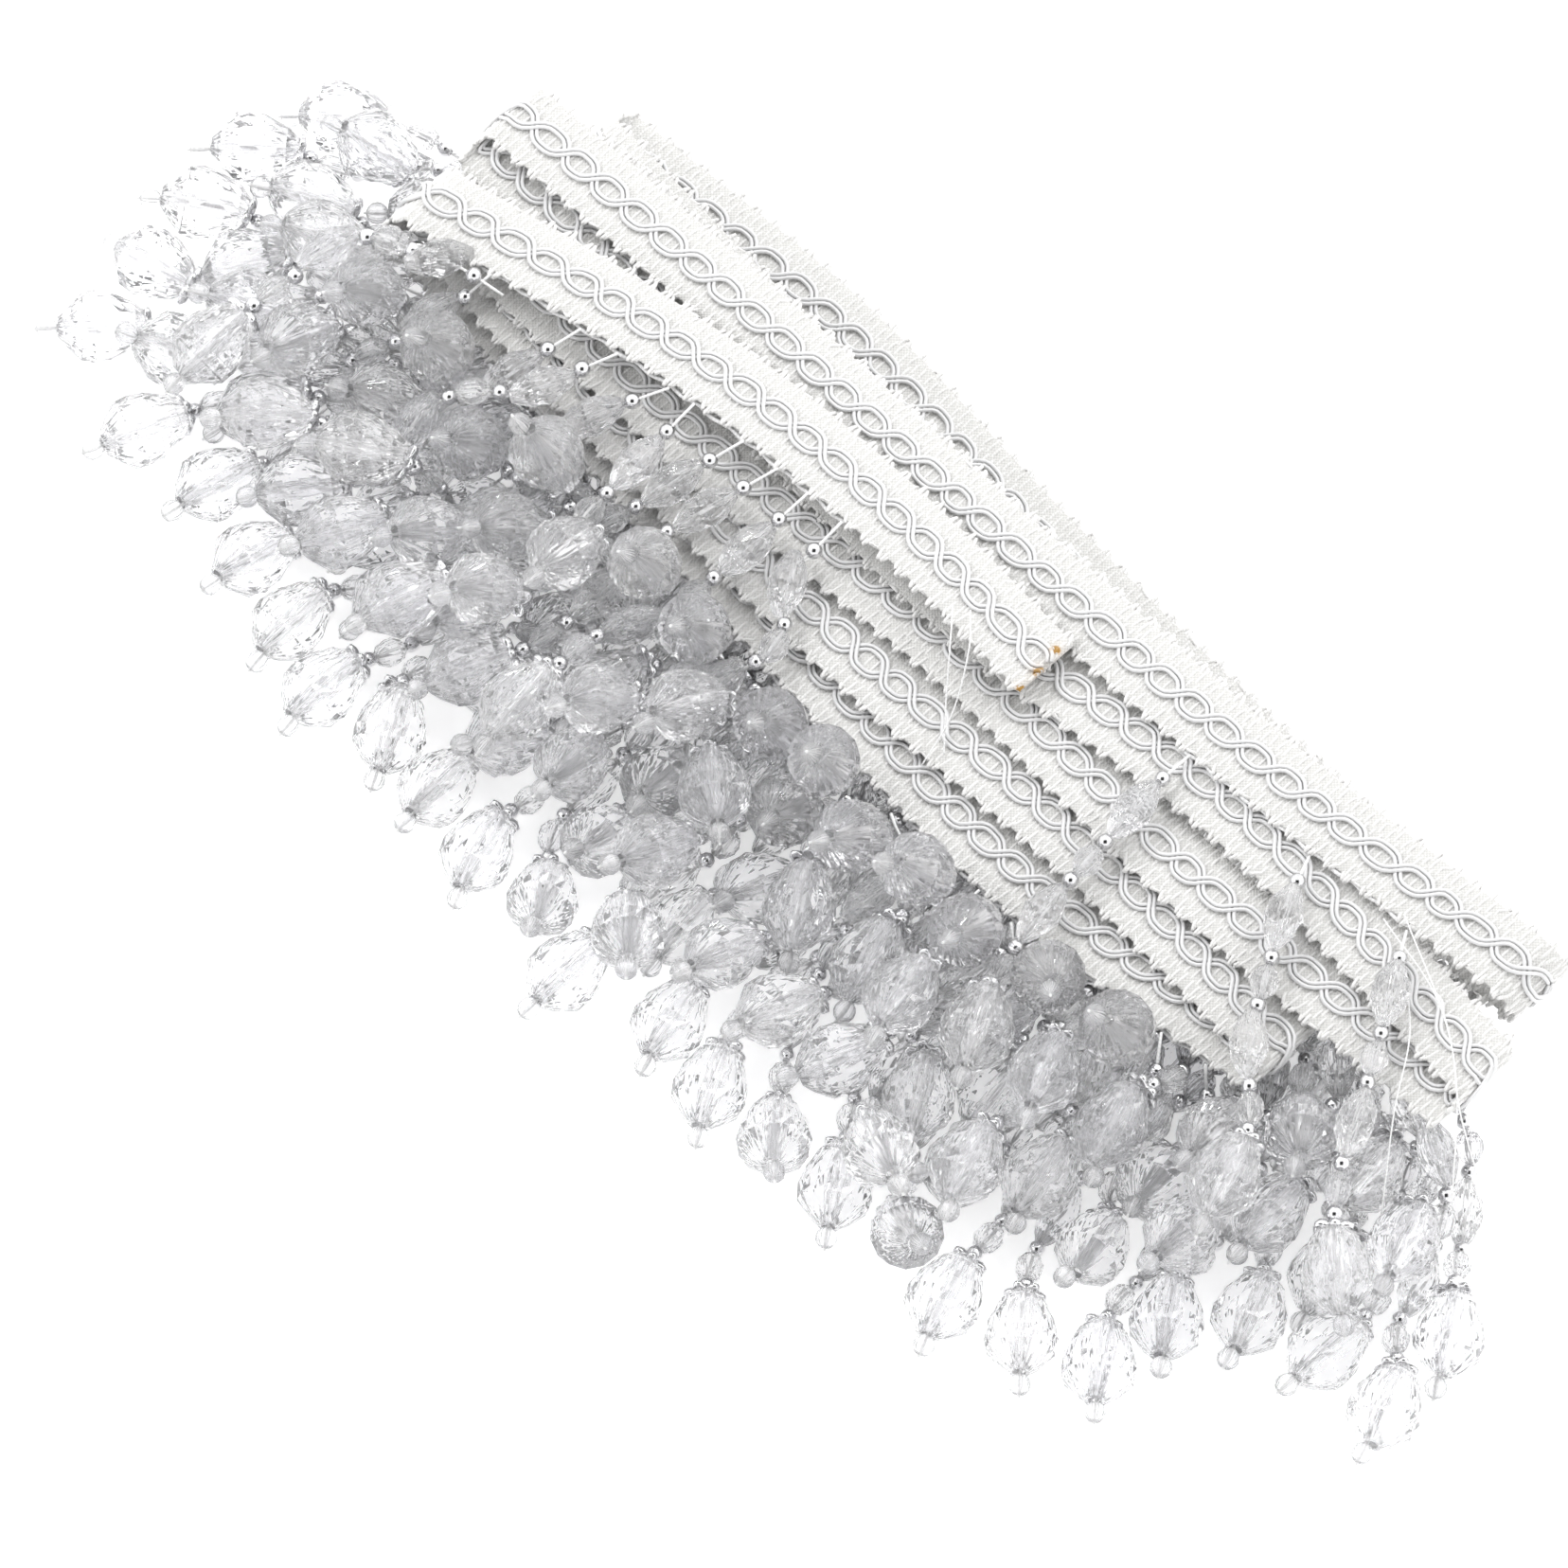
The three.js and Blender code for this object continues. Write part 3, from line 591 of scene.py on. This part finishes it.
def yarn_finish(settings):
    """Matte viscose: fine slanting fibres, a soft unevenness of tone and the singe at the cut end."""
    colour = tuple(settings.yarn_colour)
    finish = Finish("weft_yarn", Sheen_Weight=0.25, Sheen_Roughness=0.5, Specular_IOR_Level=0.3)
    along, across, _ = finish.mark("braid")
    reach, turn, _ = finish.mark("yarn")
    fibre = (reach * 11000.0 + turn).sine()
    tone = finish.noise(260.0, 3.0)
    plain = finish.mix(tone * 0.5 + fibre * 0.06, colour, tuple(c * 0.86 for c in colour))
    finish.colour(singed(finish, plain, along, across, tuple(settings.singe_colour)))
    finish.roughness(tone * 0.2 + 0.62)
    finish.relief(fibre, 0.35, 0.00008)
    return finish.material


def satin_finish(settings):
    """Satin gimp: a bright close wrap of fine filament round each cord."""
    colour = tuple(settings.cord_colour)
    finish = Finish("satin_gimp", Sheen_Weight=0.15, Specular_IOR_Level=0.6)
    along, across, _ = finish.mark("braid")
    reach, turn, _ = finish.mark("yarn")
    wrap = (reach * 42000.0 + turn).sine()
    tone = finish.noise(300.0)
    plain = finish.mix(tone * 0.6 + wrap * 0.08, colour, tuple(c * 0.86 for c in colour))
    finish.colour(singed(finish, plain, along, across, tuple(settings.singe_colour)))
    finish.roughness(tone * 0.15 + 0.28)
    finish.relief(wrap, 0.3, 0.00004)
    return finish.material


def ground_finish(settings):
    """The ground cloth: a plain weave of dull thread between the yarns, its colour darker than the yarn's as
    painted shade in the gaps.
    """
    # The darker colour of the cloth is painted shade for the gaps between the yarns; the weave is its own
    # pattern.
    colour = tuple(settings.ground_gap_shade_colour)
    finish = Finish("ground_cloth", Roughness=0.9, Specular_IOR_Level=0.2)
    along, across, _ = finish.mark("braid")
    weave = (along * 9000.0).sine() * (across * 9000.0).sine()
    plain = finish.mix(weave * 0.5 + 0.5, colour, tuple(c * 0.8 for c in colour))
    finish.colour(singed(finish, plain, along, across, tuple(settings.singe_colour)))
    finish.relief(weave, 0.5, 0.0001)
    return finish.material


def clear_finish(settings, name="clear_acrylic", rough=0.0, cloud=0.08, flutes=16.0):
    """Clear acrylic, a little clouded: a faint cool tint that differs from bead to bead, and flutes that run
    along the bead, the sum of two sines of the angle about its thread."""
    tint = tuple(settings.clear_colour)
    finish = Finish(name, Transmission_Weight=1.0 - cloud, IOR=1.49, Specular_IOR_Level=0.5)
    shade, _, _ = finish.mark("bead")
    x, y, _ = finish.mark("shape")
    finish.colour(finish.mix(shade, tint, tuple(c * s for c, s in zip(tint, (0.985, 0.985, 0.995)))))
    finish.roughness(finish.noise(500.0, 1.0) * 0.03 + rough)
    angle = y.maths("ARCTAN2", x)
    finish.relief((angle * flutes).sine() + (angle * (flutes * 1.5 + 1.0)).sine(), 0.3, 0.0001)
    return finish.material


def silver_finish(settings):
    """Bright plating, a little dull in random patches."""
    finish = Finish("silver_plate", Metallic=1.0)
    colour = tuple(settings.silver_colour)
    tone = finish.noise(800.0)
    finish.colour(finish.mix(tone, colour, tuple(c * 0.9 for c in colour)))
    finish.roughness(tone * 0.12 + 0.03)
    return finish.material


def thread_finish(settings):
    """White beading thread: twisted filament."""
    colour = tuple(settings.thread_colour)
    finish = Finish("beading_thread", Sheen_Weight=0.2, Specular_IOR_Level=0.4)
    reach, turn, _ = finish.mark("yarn")
    twist = (reach * 9000.0 + turn).sine()
    finish.colour(finish.mix(twist * 0.4 + 0.5, colour, tuple(c * 0.88 for c in colour)))
    finish.roughness(twist * 0.1 + 0.5)
    finish.relief(twist, 0.4, 0.00006)
    return finish.material


def tube_marks(along, across, reach, sides):
    """The point attributes of tubes: where on the braid, and how far along the yarn and round it."""
    turn = np.arange(sides) * 2 * np.pi / sides
    braid = np.stack([along, across, np.zeros_like(along)], axis=-1)
    braid = np.repeat(braid.reshape(-1, 3), sides, axis=0)
    around = np.tile(turn, along.size)
    yarn = np.stack([np.repeat(reach.ravel(), sides), around, np.zeros_like(around)], axis=-1)
    return {"braid": braid, "yarn": yarn}


def run_length(paths):
    """The distance along each path at each of its points."""
    steps = np.linalg.norm(np.diff(paths, axis=1), axis=2)
    return np.concatenate([np.zeros((len(paths), 1)), np.cumsum(steps, axis=1)], axis=1)


def ground_cloth(settings, ribbon):
    """A flat closed band inside the yarns: a rounded oblong section at every step of the ribbon."""
    half, thick = settings.width / 2 - GROUND_INSET, settings.base_thickness / 2
    section = np.array([(-1, 0), (-0.96, -1), (-0.5, -1), (0, -1), (0.5, -1), (0.96, -1),
                        (1, 0), (0.96, 1), (0.5, 1), (0, 1), (-0.5, 1), (-0.96, 1)], float)
    along = np.linspace(0, ribbon.length, int(ribbon.length / GROUND_STEP))
    up = np.broadcast_to(section[:, 1] * thick, (len(along), len(section)))
    place = ribbon.place(along[:, None], section[:, 0] * half, up)
    rows, sides = place.shape[:2]
    faces = np.concatenate([grid_faces(rows, sides), cap_faces(rows, sides)])
    braid = np.stack([np.repeat(along, sides), np.tile(section[:, 0] * half, rows),
                      np.zeros(rows * sides)], axis=-1)
    return (place.reshape(-1, 3), faces), {"braid": braid}


def weft_lines(settings, ribbon):
    """The weft yarn, which goes from edge to edge and back. Each pass is straight across but for a small
    slant; it rises and sinks three times over the warps, the next pass the other way; and at each edge it
    turns in a round loop. The loops reach further out in groups, as scallops, and those of a group lean
    together at their tips."""
    passes = int(ribbon.length / settings.pass_pitch)
    u = np.arange(passes * WEFT_POINTS) / WEFT_POINTS
    number = np.floor(u)
    share = u - number
    swing = -np.cos(np.pi * np.clip((share - WEFT_TURN) / (1 - 2 * WEFT_TURN), 0, 1))
    swing = np.sign(swing) * np.abs(swing) ** 0.75
    side = np.where(number % 2 == 0, swing, -swing)
    along = (number + 0.5 + (np.sin(np.pi * (share - 0.5)) ** 5) * 0.5) * settings.pass_pitch
    phase = along / settings.scallop_pitch % 1
    group = np.sin(np.pi * phase) ** 0.6
    reach = settings.width / 2 + settings.scallop * (group - 0.6)
    across = side * reach
    along = along - settings.scallop_fan * settings.scallop_pitch * (phase - 0.5) * np.abs(side) ** 8
    random = np.random.default_rng(11)
    loose = [np.interp(u, np.arange(passes + 1), random.normal(0, size, passes + 1))
             for size in WEFT_SPREADS]
    wave = np.cos(across * 2 * np.pi / WARP_PITCH + np.pi * number + loose[0])
    up = settings.yarn_wave * wave * (1 + loose[1]) * (1 - 0.5 * np.abs(side) ** 6)
    along = along + loose[2]
    across = across + loose[3]
    return along, across, up


def weft(settings, ribbon, share):
    """One length of the weft yarn as a tube; share is its start and end as parts of the whole."""
    along, across, up = weft_lines(settings, ribbon)
    start, end = (int(len(along) * part) for part in share)
    chosen = slice(max(start - 1, 0), end)
    along, across, up = along[chosen], across[chosen], up[chosen]
    along = np.clip(along, 0, ribbon.length)
    paths = ribbon.place(along, across, up)[None]
    shape = tubes(paths, settings.yarn / 2, WEFT_SIDES)
    return shape, tube_marks(along, across, run_length(paths), WEFT_SIDES)


def chain(settings, ribbon, face):
    """The chain of links on one face: two waves that mirror each other and cross between the links, each
    a pair of cords side by side. The waves pass over and under each other in turn at the crossings."""
    along = np.linspace(CHAIN_INSET, ribbon.length - CHAIN_INSET, int(ribbon.length / CORD_STEP))
    random = np.random.default_rng(5 if face > 0 else 6)
    knots = np.arange(int(ribbon.length / settings.link) + 2)
    phase = np.interp(along, knots * settings.link, knots + random.normal(0, LINK_SPREADS[0], len(knots)))
    swell = np.interp(along, knots * settings.link, 1 + random.normal(0, LINK_SPREADS[1], len(knots)))
    lines = []
    for wave in (1, -1):
        turn = np.pi * phase
        lean = wave * settings.link_width / 2 * swell * (np.sin(turn) + 0.1 * np.sin(3 * turn))
        slope = np.gradient(lean, along)
        size = np.sqrt(1 + slope**2)
        over = settings.cord * 0.5 * np.cos(turn) * wave
        for pair in (-0.5, 0.5):
            offset = pair * settings.cord_gap
            up = face * (settings.yarn / 2 + settings.yarn_wave * 0.6 + settings.cord * 0.45 + over * 0.5)
            lines.append((along - offset * slope / size, lean + offset / size, up))
    reach, across, up = (np.array(rows) for rows in zip(*lines))
    paths = ribbon.place(np.clip(reach, 0, ribbon.length), across, up)
    shape = tubes(paths, settings.cord / 2, CORD_SIDES)
    return shape, tube_marks(reach, across, run_length(paths), CORD_SIDES)


def bead_marks(bead, count, random):
    """Each bead's own random numbers, the same over the bead, and each point's place about its thread."""
    own = random.random((count, 3))
    return {"bead": np.repeat(own, len(bead[0]), axis=0), "shape": np.tile(bead[0], (count, 1))}


def bead_piece(name, bead, strands, at, finish, random, smooth=False, replaced=()):
    """One kind of bead on every strand, at its distances from the root."""
    places, ways = strands.place(np.array(at) * MM)
    places, ways = places.reshape(-1, 3), ways.reshape(-1, 3)
    rolls = random.random(len(places)) * 2 * np.pi
    shape = strung(bead, places, ways, rolls, 1 + random.normal(0, 0.015, len(places)))
    return piece(name, shape, finish, replaced, smooth, bead_marks(bead, len(places), random))


def round_bead(diameter, rings, sides):
    """A ball: the circle's rings, flattened at both ends where the hole is."""
    turn = np.linspace(0.16, np.pi - 0.16, rings)
    return turned(np.stack([-np.cos(turn), np.sin(turn)], axis=1) * diameter / 2, sides)


def oval_bead(length, width):
    """A small oval with eight flat sides, broken by a waist of facets."""
    rings = ((-0.5, 0.36), (-0.36, 0.74), (-0.12, 1), (0.12, 1), (0.36, 0.74), (0.5, 0.36))
    return turned([(z * length, r * width / 2) for z, r in rings], 8, (0, 0, 1, 1, 0, 0))


def long_bead(length, width):
    """A long bead with eight sides that taper to both ends in two facets."""
    rings = ((-0.5, 0.3), (-0.4, 0.55), (-0.2, 0.88), (0, 1), (0.2, 0.88), (0.4, 0.55), (0.5, 0.3))
    return turned([(z * length, r * width / 2) for z, r in rings], 8, (0, 0, 1, 0, 1, 0, 0))


def end_bead(length, width):
    """The large bead, from its cap to its stopper: a sloping shoulder, a belt of diamond facets where it is
    widest, and a cut tip. The channel of its thread runs through it."""
    outside = ((-0.5, 0.34), (-0.37, 0.64), (-0.1, 0.93), (0.08, 1), (0.24, 0.94), (0.42, 0.55), (0.5, 0.3))
    channel = ((0.5, 0.19), (0.1, 0.19), (-0.2, 0.19), (-0.5, 0.19))
    rings = [(z * length, r * width / 2) for z, r in outside + channel]
    return turned(rings + rings[:1], 12, (0, 0, 1, 0, 1, 0, 0, 0, 0, 0, 0, 0), capped=False)


def petal_cap(width, height):
    """A cap of six petals: a shallow cup whose rim swings in and out six times, each petal domed. The
    inside follows at a small distance."""
    turn = np.arange(36) * 2 * np.pi / 36
    lobe = np.abs(np.cos(3 * turn))
    levels = ((0.0, 0.16, 0.0), (0.02, 0.42, 0.1), (0.3, 0.74, 0.3), (0.72, 0.98, 0.2), (1.0, 0.96, 0.0),
              (0.92, 0.8, 0.0), (0.42, 0.56, 0.12), (0.2, 0.16, 0.0))
    rings = []
    for drop, reach, dome in levels:
        radius = width / 2 * reach * (1 - 0.42 * (1 - lobe) * reach)
        rings.append(np.stack([radius * np.cos(turn), radius * np.sin(turn),
                               height * (drop - dome * lobe)], axis=-1))
    points = np.array(rings)
    faces = np.concatenate([grid_faces(len(levels), len(turn)), cap_faces(len(levels), len(turn))])
    return points.reshape(-1, 3), faces


def thread_lines(strands):
    """The thread of each strand, from its tape through all its beads to the knot."""
    along = np.concatenate([np.linspace(RING_PLACES[0], THREAD_TO_CAP, THREAD_POINTS_TO_CAP),
                            np.linspace(THREAD_FROM_NECK, THREAD_END, THREAD_POINTS_TO_END)]) * MM
    paths, ways = strands.place(along)
    sewn = paths[:, :1] - ways[:, :1] * SEWN_IN * MM
    return np.concatenate([sewn, paths], axis=1)


def tape_lines(strands):
    """The sewing cord of each fringe: the smooth line through its strands' roots in order along X."""
    lines = []
    for i in range(len(FRINGES)):
        own = strands.rings[strands.fringe == i]
        own = own[np.argsort(own[:, 0, 0])]
        lines.append(own[:, 0] + np.array(TAPE_CORD_PLACE) * MM)
    count = max(int((line[-1, 0] - line[0, 0]) / (TAPE_CORD_STEP * MM)) for line in lines)
    made = []
    for line in lines:
        x = np.linspace(line[0, 0] - TAPE_CORD_PAST * MM, line[-1, 0] + TAPE_CORD_PAST * MM, count)
        stitch = STITCH_SWING * MM * np.sin(x / (STITCH_LENGTH * MM))
        made.append(np.stack([x, np.interp(x, line[:, 0], line[:, 1]) + stitch,
                              np.interp(x, line[:, 0], line[:, 2])], axis=1))
    return np.array(made)


def loose_lines():
    """The loose threads: the smooth curves through their points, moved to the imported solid."""
    share = np.linspace(0, 1, LOOSE_THREAD_POINTS)
    lines = [np.stack([through([p[k] for p in points], share) for k in range(3)], axis=1)
             for points in LOOSE_THREADS]
    return np.array(lines) * MM + packed_shift()


# Operators


def settings_of(context):
    return context.scene.fringe_trim_braid, context.scene.fringe_trim_beads, context.scene.fringe_trim_stage


class FRINGE_OT_braid(bpy.types.Operator):
    """Makes the ground cloth, the weft yarn and the chains of the folded braid"""

    bl_idname = "fringe_trim.braid"
    bl_label = "Braid"

    def execute(self, context):
        braid, _, _ = settings_of(context)
        ribbon = Ribbon()
        shape, marks = ground_cloth(braid, ribbon)
        ground = piece("ground_cloth", shape, ground_finish(braid), (HEADING,), True, marks)
        yarn = yarn_finish(braid)
        satin = satin_finish(braid)
        for name, start, end in (("weft_yarn_1", 0, 1 / 3), ("weft_yarn_2", 1 / 3, 2 / 3),
                                 ("weft_yarn_3", 2 / 3, 1)):
            shape, marks = weft(braid, ribbon, (start, end))
            piece(name, shape, yarn, (HEADING,), True, marks)
        for name, face in (("chain_front", 1), ("chain_back", -1)):
            shape, marks = chain(braid, ribbon, face)
            piece(name, shape, satin, (), True, marks)
        return {"FINISHED"}


class FRINGE_OT_thread(bpy.types.Operator):
    """Makes the thread of every strand and the cord that each fringe is sewn to"""

    bl_idname = "fringe_trim.thread"
    bl_label = "Thread"

    def execute(self, context):
        _, beads, _ = settings_of(context)
        strands = Strands()
        white = thread_finish(beads)
        for name, paths, radius in (("strand_thread", thread_lines(strands), beads.thread / 2),
                                    ("sewing_cord", tape_lines(strands), TAPE_CORD_RADIUS * MM),
                                    ("loose_threads", loose_lines(), beads.thread / 4)):
            reach = run_length(paths)
            marks = tube_marks(reach, reach * 0, reach, THREAD_SIDES)
            piece(name, tubes(paths, radius, THREAD_SIDES), white, (), True, marks)
        return {"FINISHED"}


class FRINGE_OT_clear_beads(bpy.types.Operator):
    """Makes the clear beads: small ovals, long beads, end beads and stoppers"""

    bl_idname = "fringe_trim.clear_beads"
    bl_label = "Clear beads"

    def execute(self, context):
        _, beads, _ = settings_of(context)
        strands = Strands()
        random = np.random.default_rng(beads.seed)
        clear = clear_finish(beads)
        for name, bead, at in (
            ("end_beads", end_bead(beads.end_length, beads.end_width), (END_BEAD_AT,)),
            ("long_beads", long_bead(beads.rice_length, beads.rice_width), RICE_AT),
            ("oval_beads", oval_bead(beads.oval_length, beads.oval_width), OVALS_AT),
        ):
            bead_piece(name, bead, strands, at, clear, random, replaced=FRINGES)
        frosted = clear_finish(beads, "frosted_acrylic", 0.12, 0.12)
        bead_piece("stoppers", round_bead(beads.stopper, 7, 12), strands, (STOPPER_AT,), frosted,
                   random, smooth=True)
        return {"FINISHED"}


class FRINGE_OT_silver_beads(bpy.types.Operator):
    """Makes the silvered spacer beads and the petal caps"""

    bl_idname = "fringe_trim.silver_beads"
    bl_label = "Silvered beads"

    def execute(self, context):
        _, beads, _ = settings_of(context)
        strands = Strands()
        random = np.random.default_rng(beads.seed + 1)
        silver = silver_finish(beads)
        bead_piece("spacers", round_bead(beads.spacer, 7, 10), strands, SPACERS_AT, silver,
                   random, smooth=True)
        bead_piece("petal_caps", petal_cap(beads.cap_width, CAP_HEIGHT * MM), strands, (CAP_AT,), silver,
                   random, smooth=True)
        return {"FINISHED"}


class FRINGE_OT_stage(bpy.types.Operator):
    """Makes the white table, the soft lights, the camera and the dark card behind it"""

    bl_idname = "fringe_trim.stage"
    bl_label = "Stage"

    def execute(self, context):
        stage = settings_of(context)[2]
        scene = context.scene
        scene.view_settings.view_transform = "Standard"
        corners = [(TABLE_HALF * a, TABLE_HALF * b, TABLE_HEIGHT) for a, b in SQUARE]
        mesh = bpy.data.meshes.new("table")
        mesh.from_pydata(corners, [], [(0, 1, 2, 3)])
        white = Finish("white_table", Roughness=0.8, Emission_Color=(1, 1, 1, 1),
                       Emission_Strength=stage.floor_glow)
        cloud = white.noise(3.0)
        colour = tuple(stage.floor_colour)
        white.colour(white.mix(cloud, colour, tuple(c * 0.99 for c in colour)))
        mesh.materials.append(white.material)
        table = bpy.data.objects.new("table", mesh)
        scene.collection.objects.link(table)

        world = bpy.data.worlds.new("studio")
        world.use_nodes = True
        world.node_tree.nodes["Background"].inputs[0].default_value = (1, 1, 1, 1)
        world.node_tree.nodes["Background"].inputs[1].default_value = stage.world_light
        scene.world = world

        for name, place, size, power in LIGHTS:
            light = bpy.data.lights.new(name, "AREA")
            light.energy = getattr(stage, power)
            light.size = size
            lamp = bpy.data.objects.new(name, light)
            lamp.location = place
            way = -np.array(place)
            lamp.rotation_euler = (
                math.acos(-way[2] / np.linalg.norm(way)), 0, math.atan2(way[1], way[0]) - math.pi / 2)
            scene.collection.objects.link(lamp)

        azimuth, elevation = math.radians(AZIMUTH), math.radians(ELEVATION)
        back = np.array([math.sin(azimuth) * math.cos(elevation), -math.cos(azimuth) * math.cos(elevation),
                         math.sin(elevation)])
        target = np.array(TARGET) + packed_shift() * [1, 1, 0]
        camera = bpy.data.cameras.new("camera")
        camera.sensor_width = SENSOR
        camera.lens = SENSOR * stage.distance / stage.frame_width
        eye = bpy.data.objects.new("camera", camera)
        eye.location = target + back * stage.distance
        eye.rotation_euler = (math.pi / 2 - elevation, 0, azimuth)
        scene.collection.objects.link(eye)
        scene.camera = eye

        across = np.array([math.cos(azimuth), math.sin(azimuth), 0])
        upward = np.cross(back, across)
        middle = back * (stage.distance + CARD_BEHIND)
        card = bpy.data.meshes.new("dark_card")
        card.from_pydata([tuple(middle + CARD_HALF * (a * across + b * upward)) for a, b in SQUARE], [],
                         [(0, 1, 2, 3)])
        card.materials.append(Finish("dark_card", Base_Color=CARD_COLOUR, Roughness=0.9).material)
        board = bpy.data.objects.new("dark_card", card)
        scene.collection.objects.link(board)
        return {"FINISHED"}


class FRINGE_PT_panel(bpy.types.Panel):
    """Lists the steps that make the trim"""

    bl_idname = "FRINGE_PT_panel"
    bl_label = "Fringe trim"
    bl_space_type = "VIEW_3D"
    bl_region_type = "UI"
    bl_category = "Fringe trim"

    def draw(self, context):
        for made in OPERATORS:
            self.layout.operator(made.bl_idname)
        for group in settings_of(context):
            for name in group.bl_rna.properties.keys():
                if name not in ("rna_type", "name"):
                    self.layout.prop(group, name)


OPERATORS = (FRINGE_OT_stage, FRINGE_OT_braid, FRINGE_OT_thread, FRINGE_OT_clear_beads,
             FRINGE_OT_silver_beads)
CLASSES = (BraidSettings, FringeSettings, StageSettings, *OPERATORS, FRINGE_PT_panel)


def register():
    for made in CLASSES:
        bpy.utils.register_class(made)
    bpy.types.Scene.fringe_trim_braid = PointerProperty(type=BraidSettings)
    bpy.types.Scene.fringe_trim_beads = PointerProperty(type=FringeSettings)
    bpy.types.Scene.fringe_trim_stage = PointerProperty(type=StageSettings)


def unregister():
    for name in ("fringe_trim_braid", "fringe_trim_beads", "fringe_trim_stage"):
        delattr(bpy.types.Scene, name)
    for made in reversed(CLASSES):
        bpy.utils.unregister_class(made)


def main():
    register()
    bpy.ops.fringe_trim.stage()
    bpy.ops.fringe_trim.braid()
    bpy.ops.fringe_trim.thread()
    bpy.ops.fringe_trim.clear_beads()
    bpy.ops.fringe_trim.silver_beads()


if __name__ == "__main__":
    main()
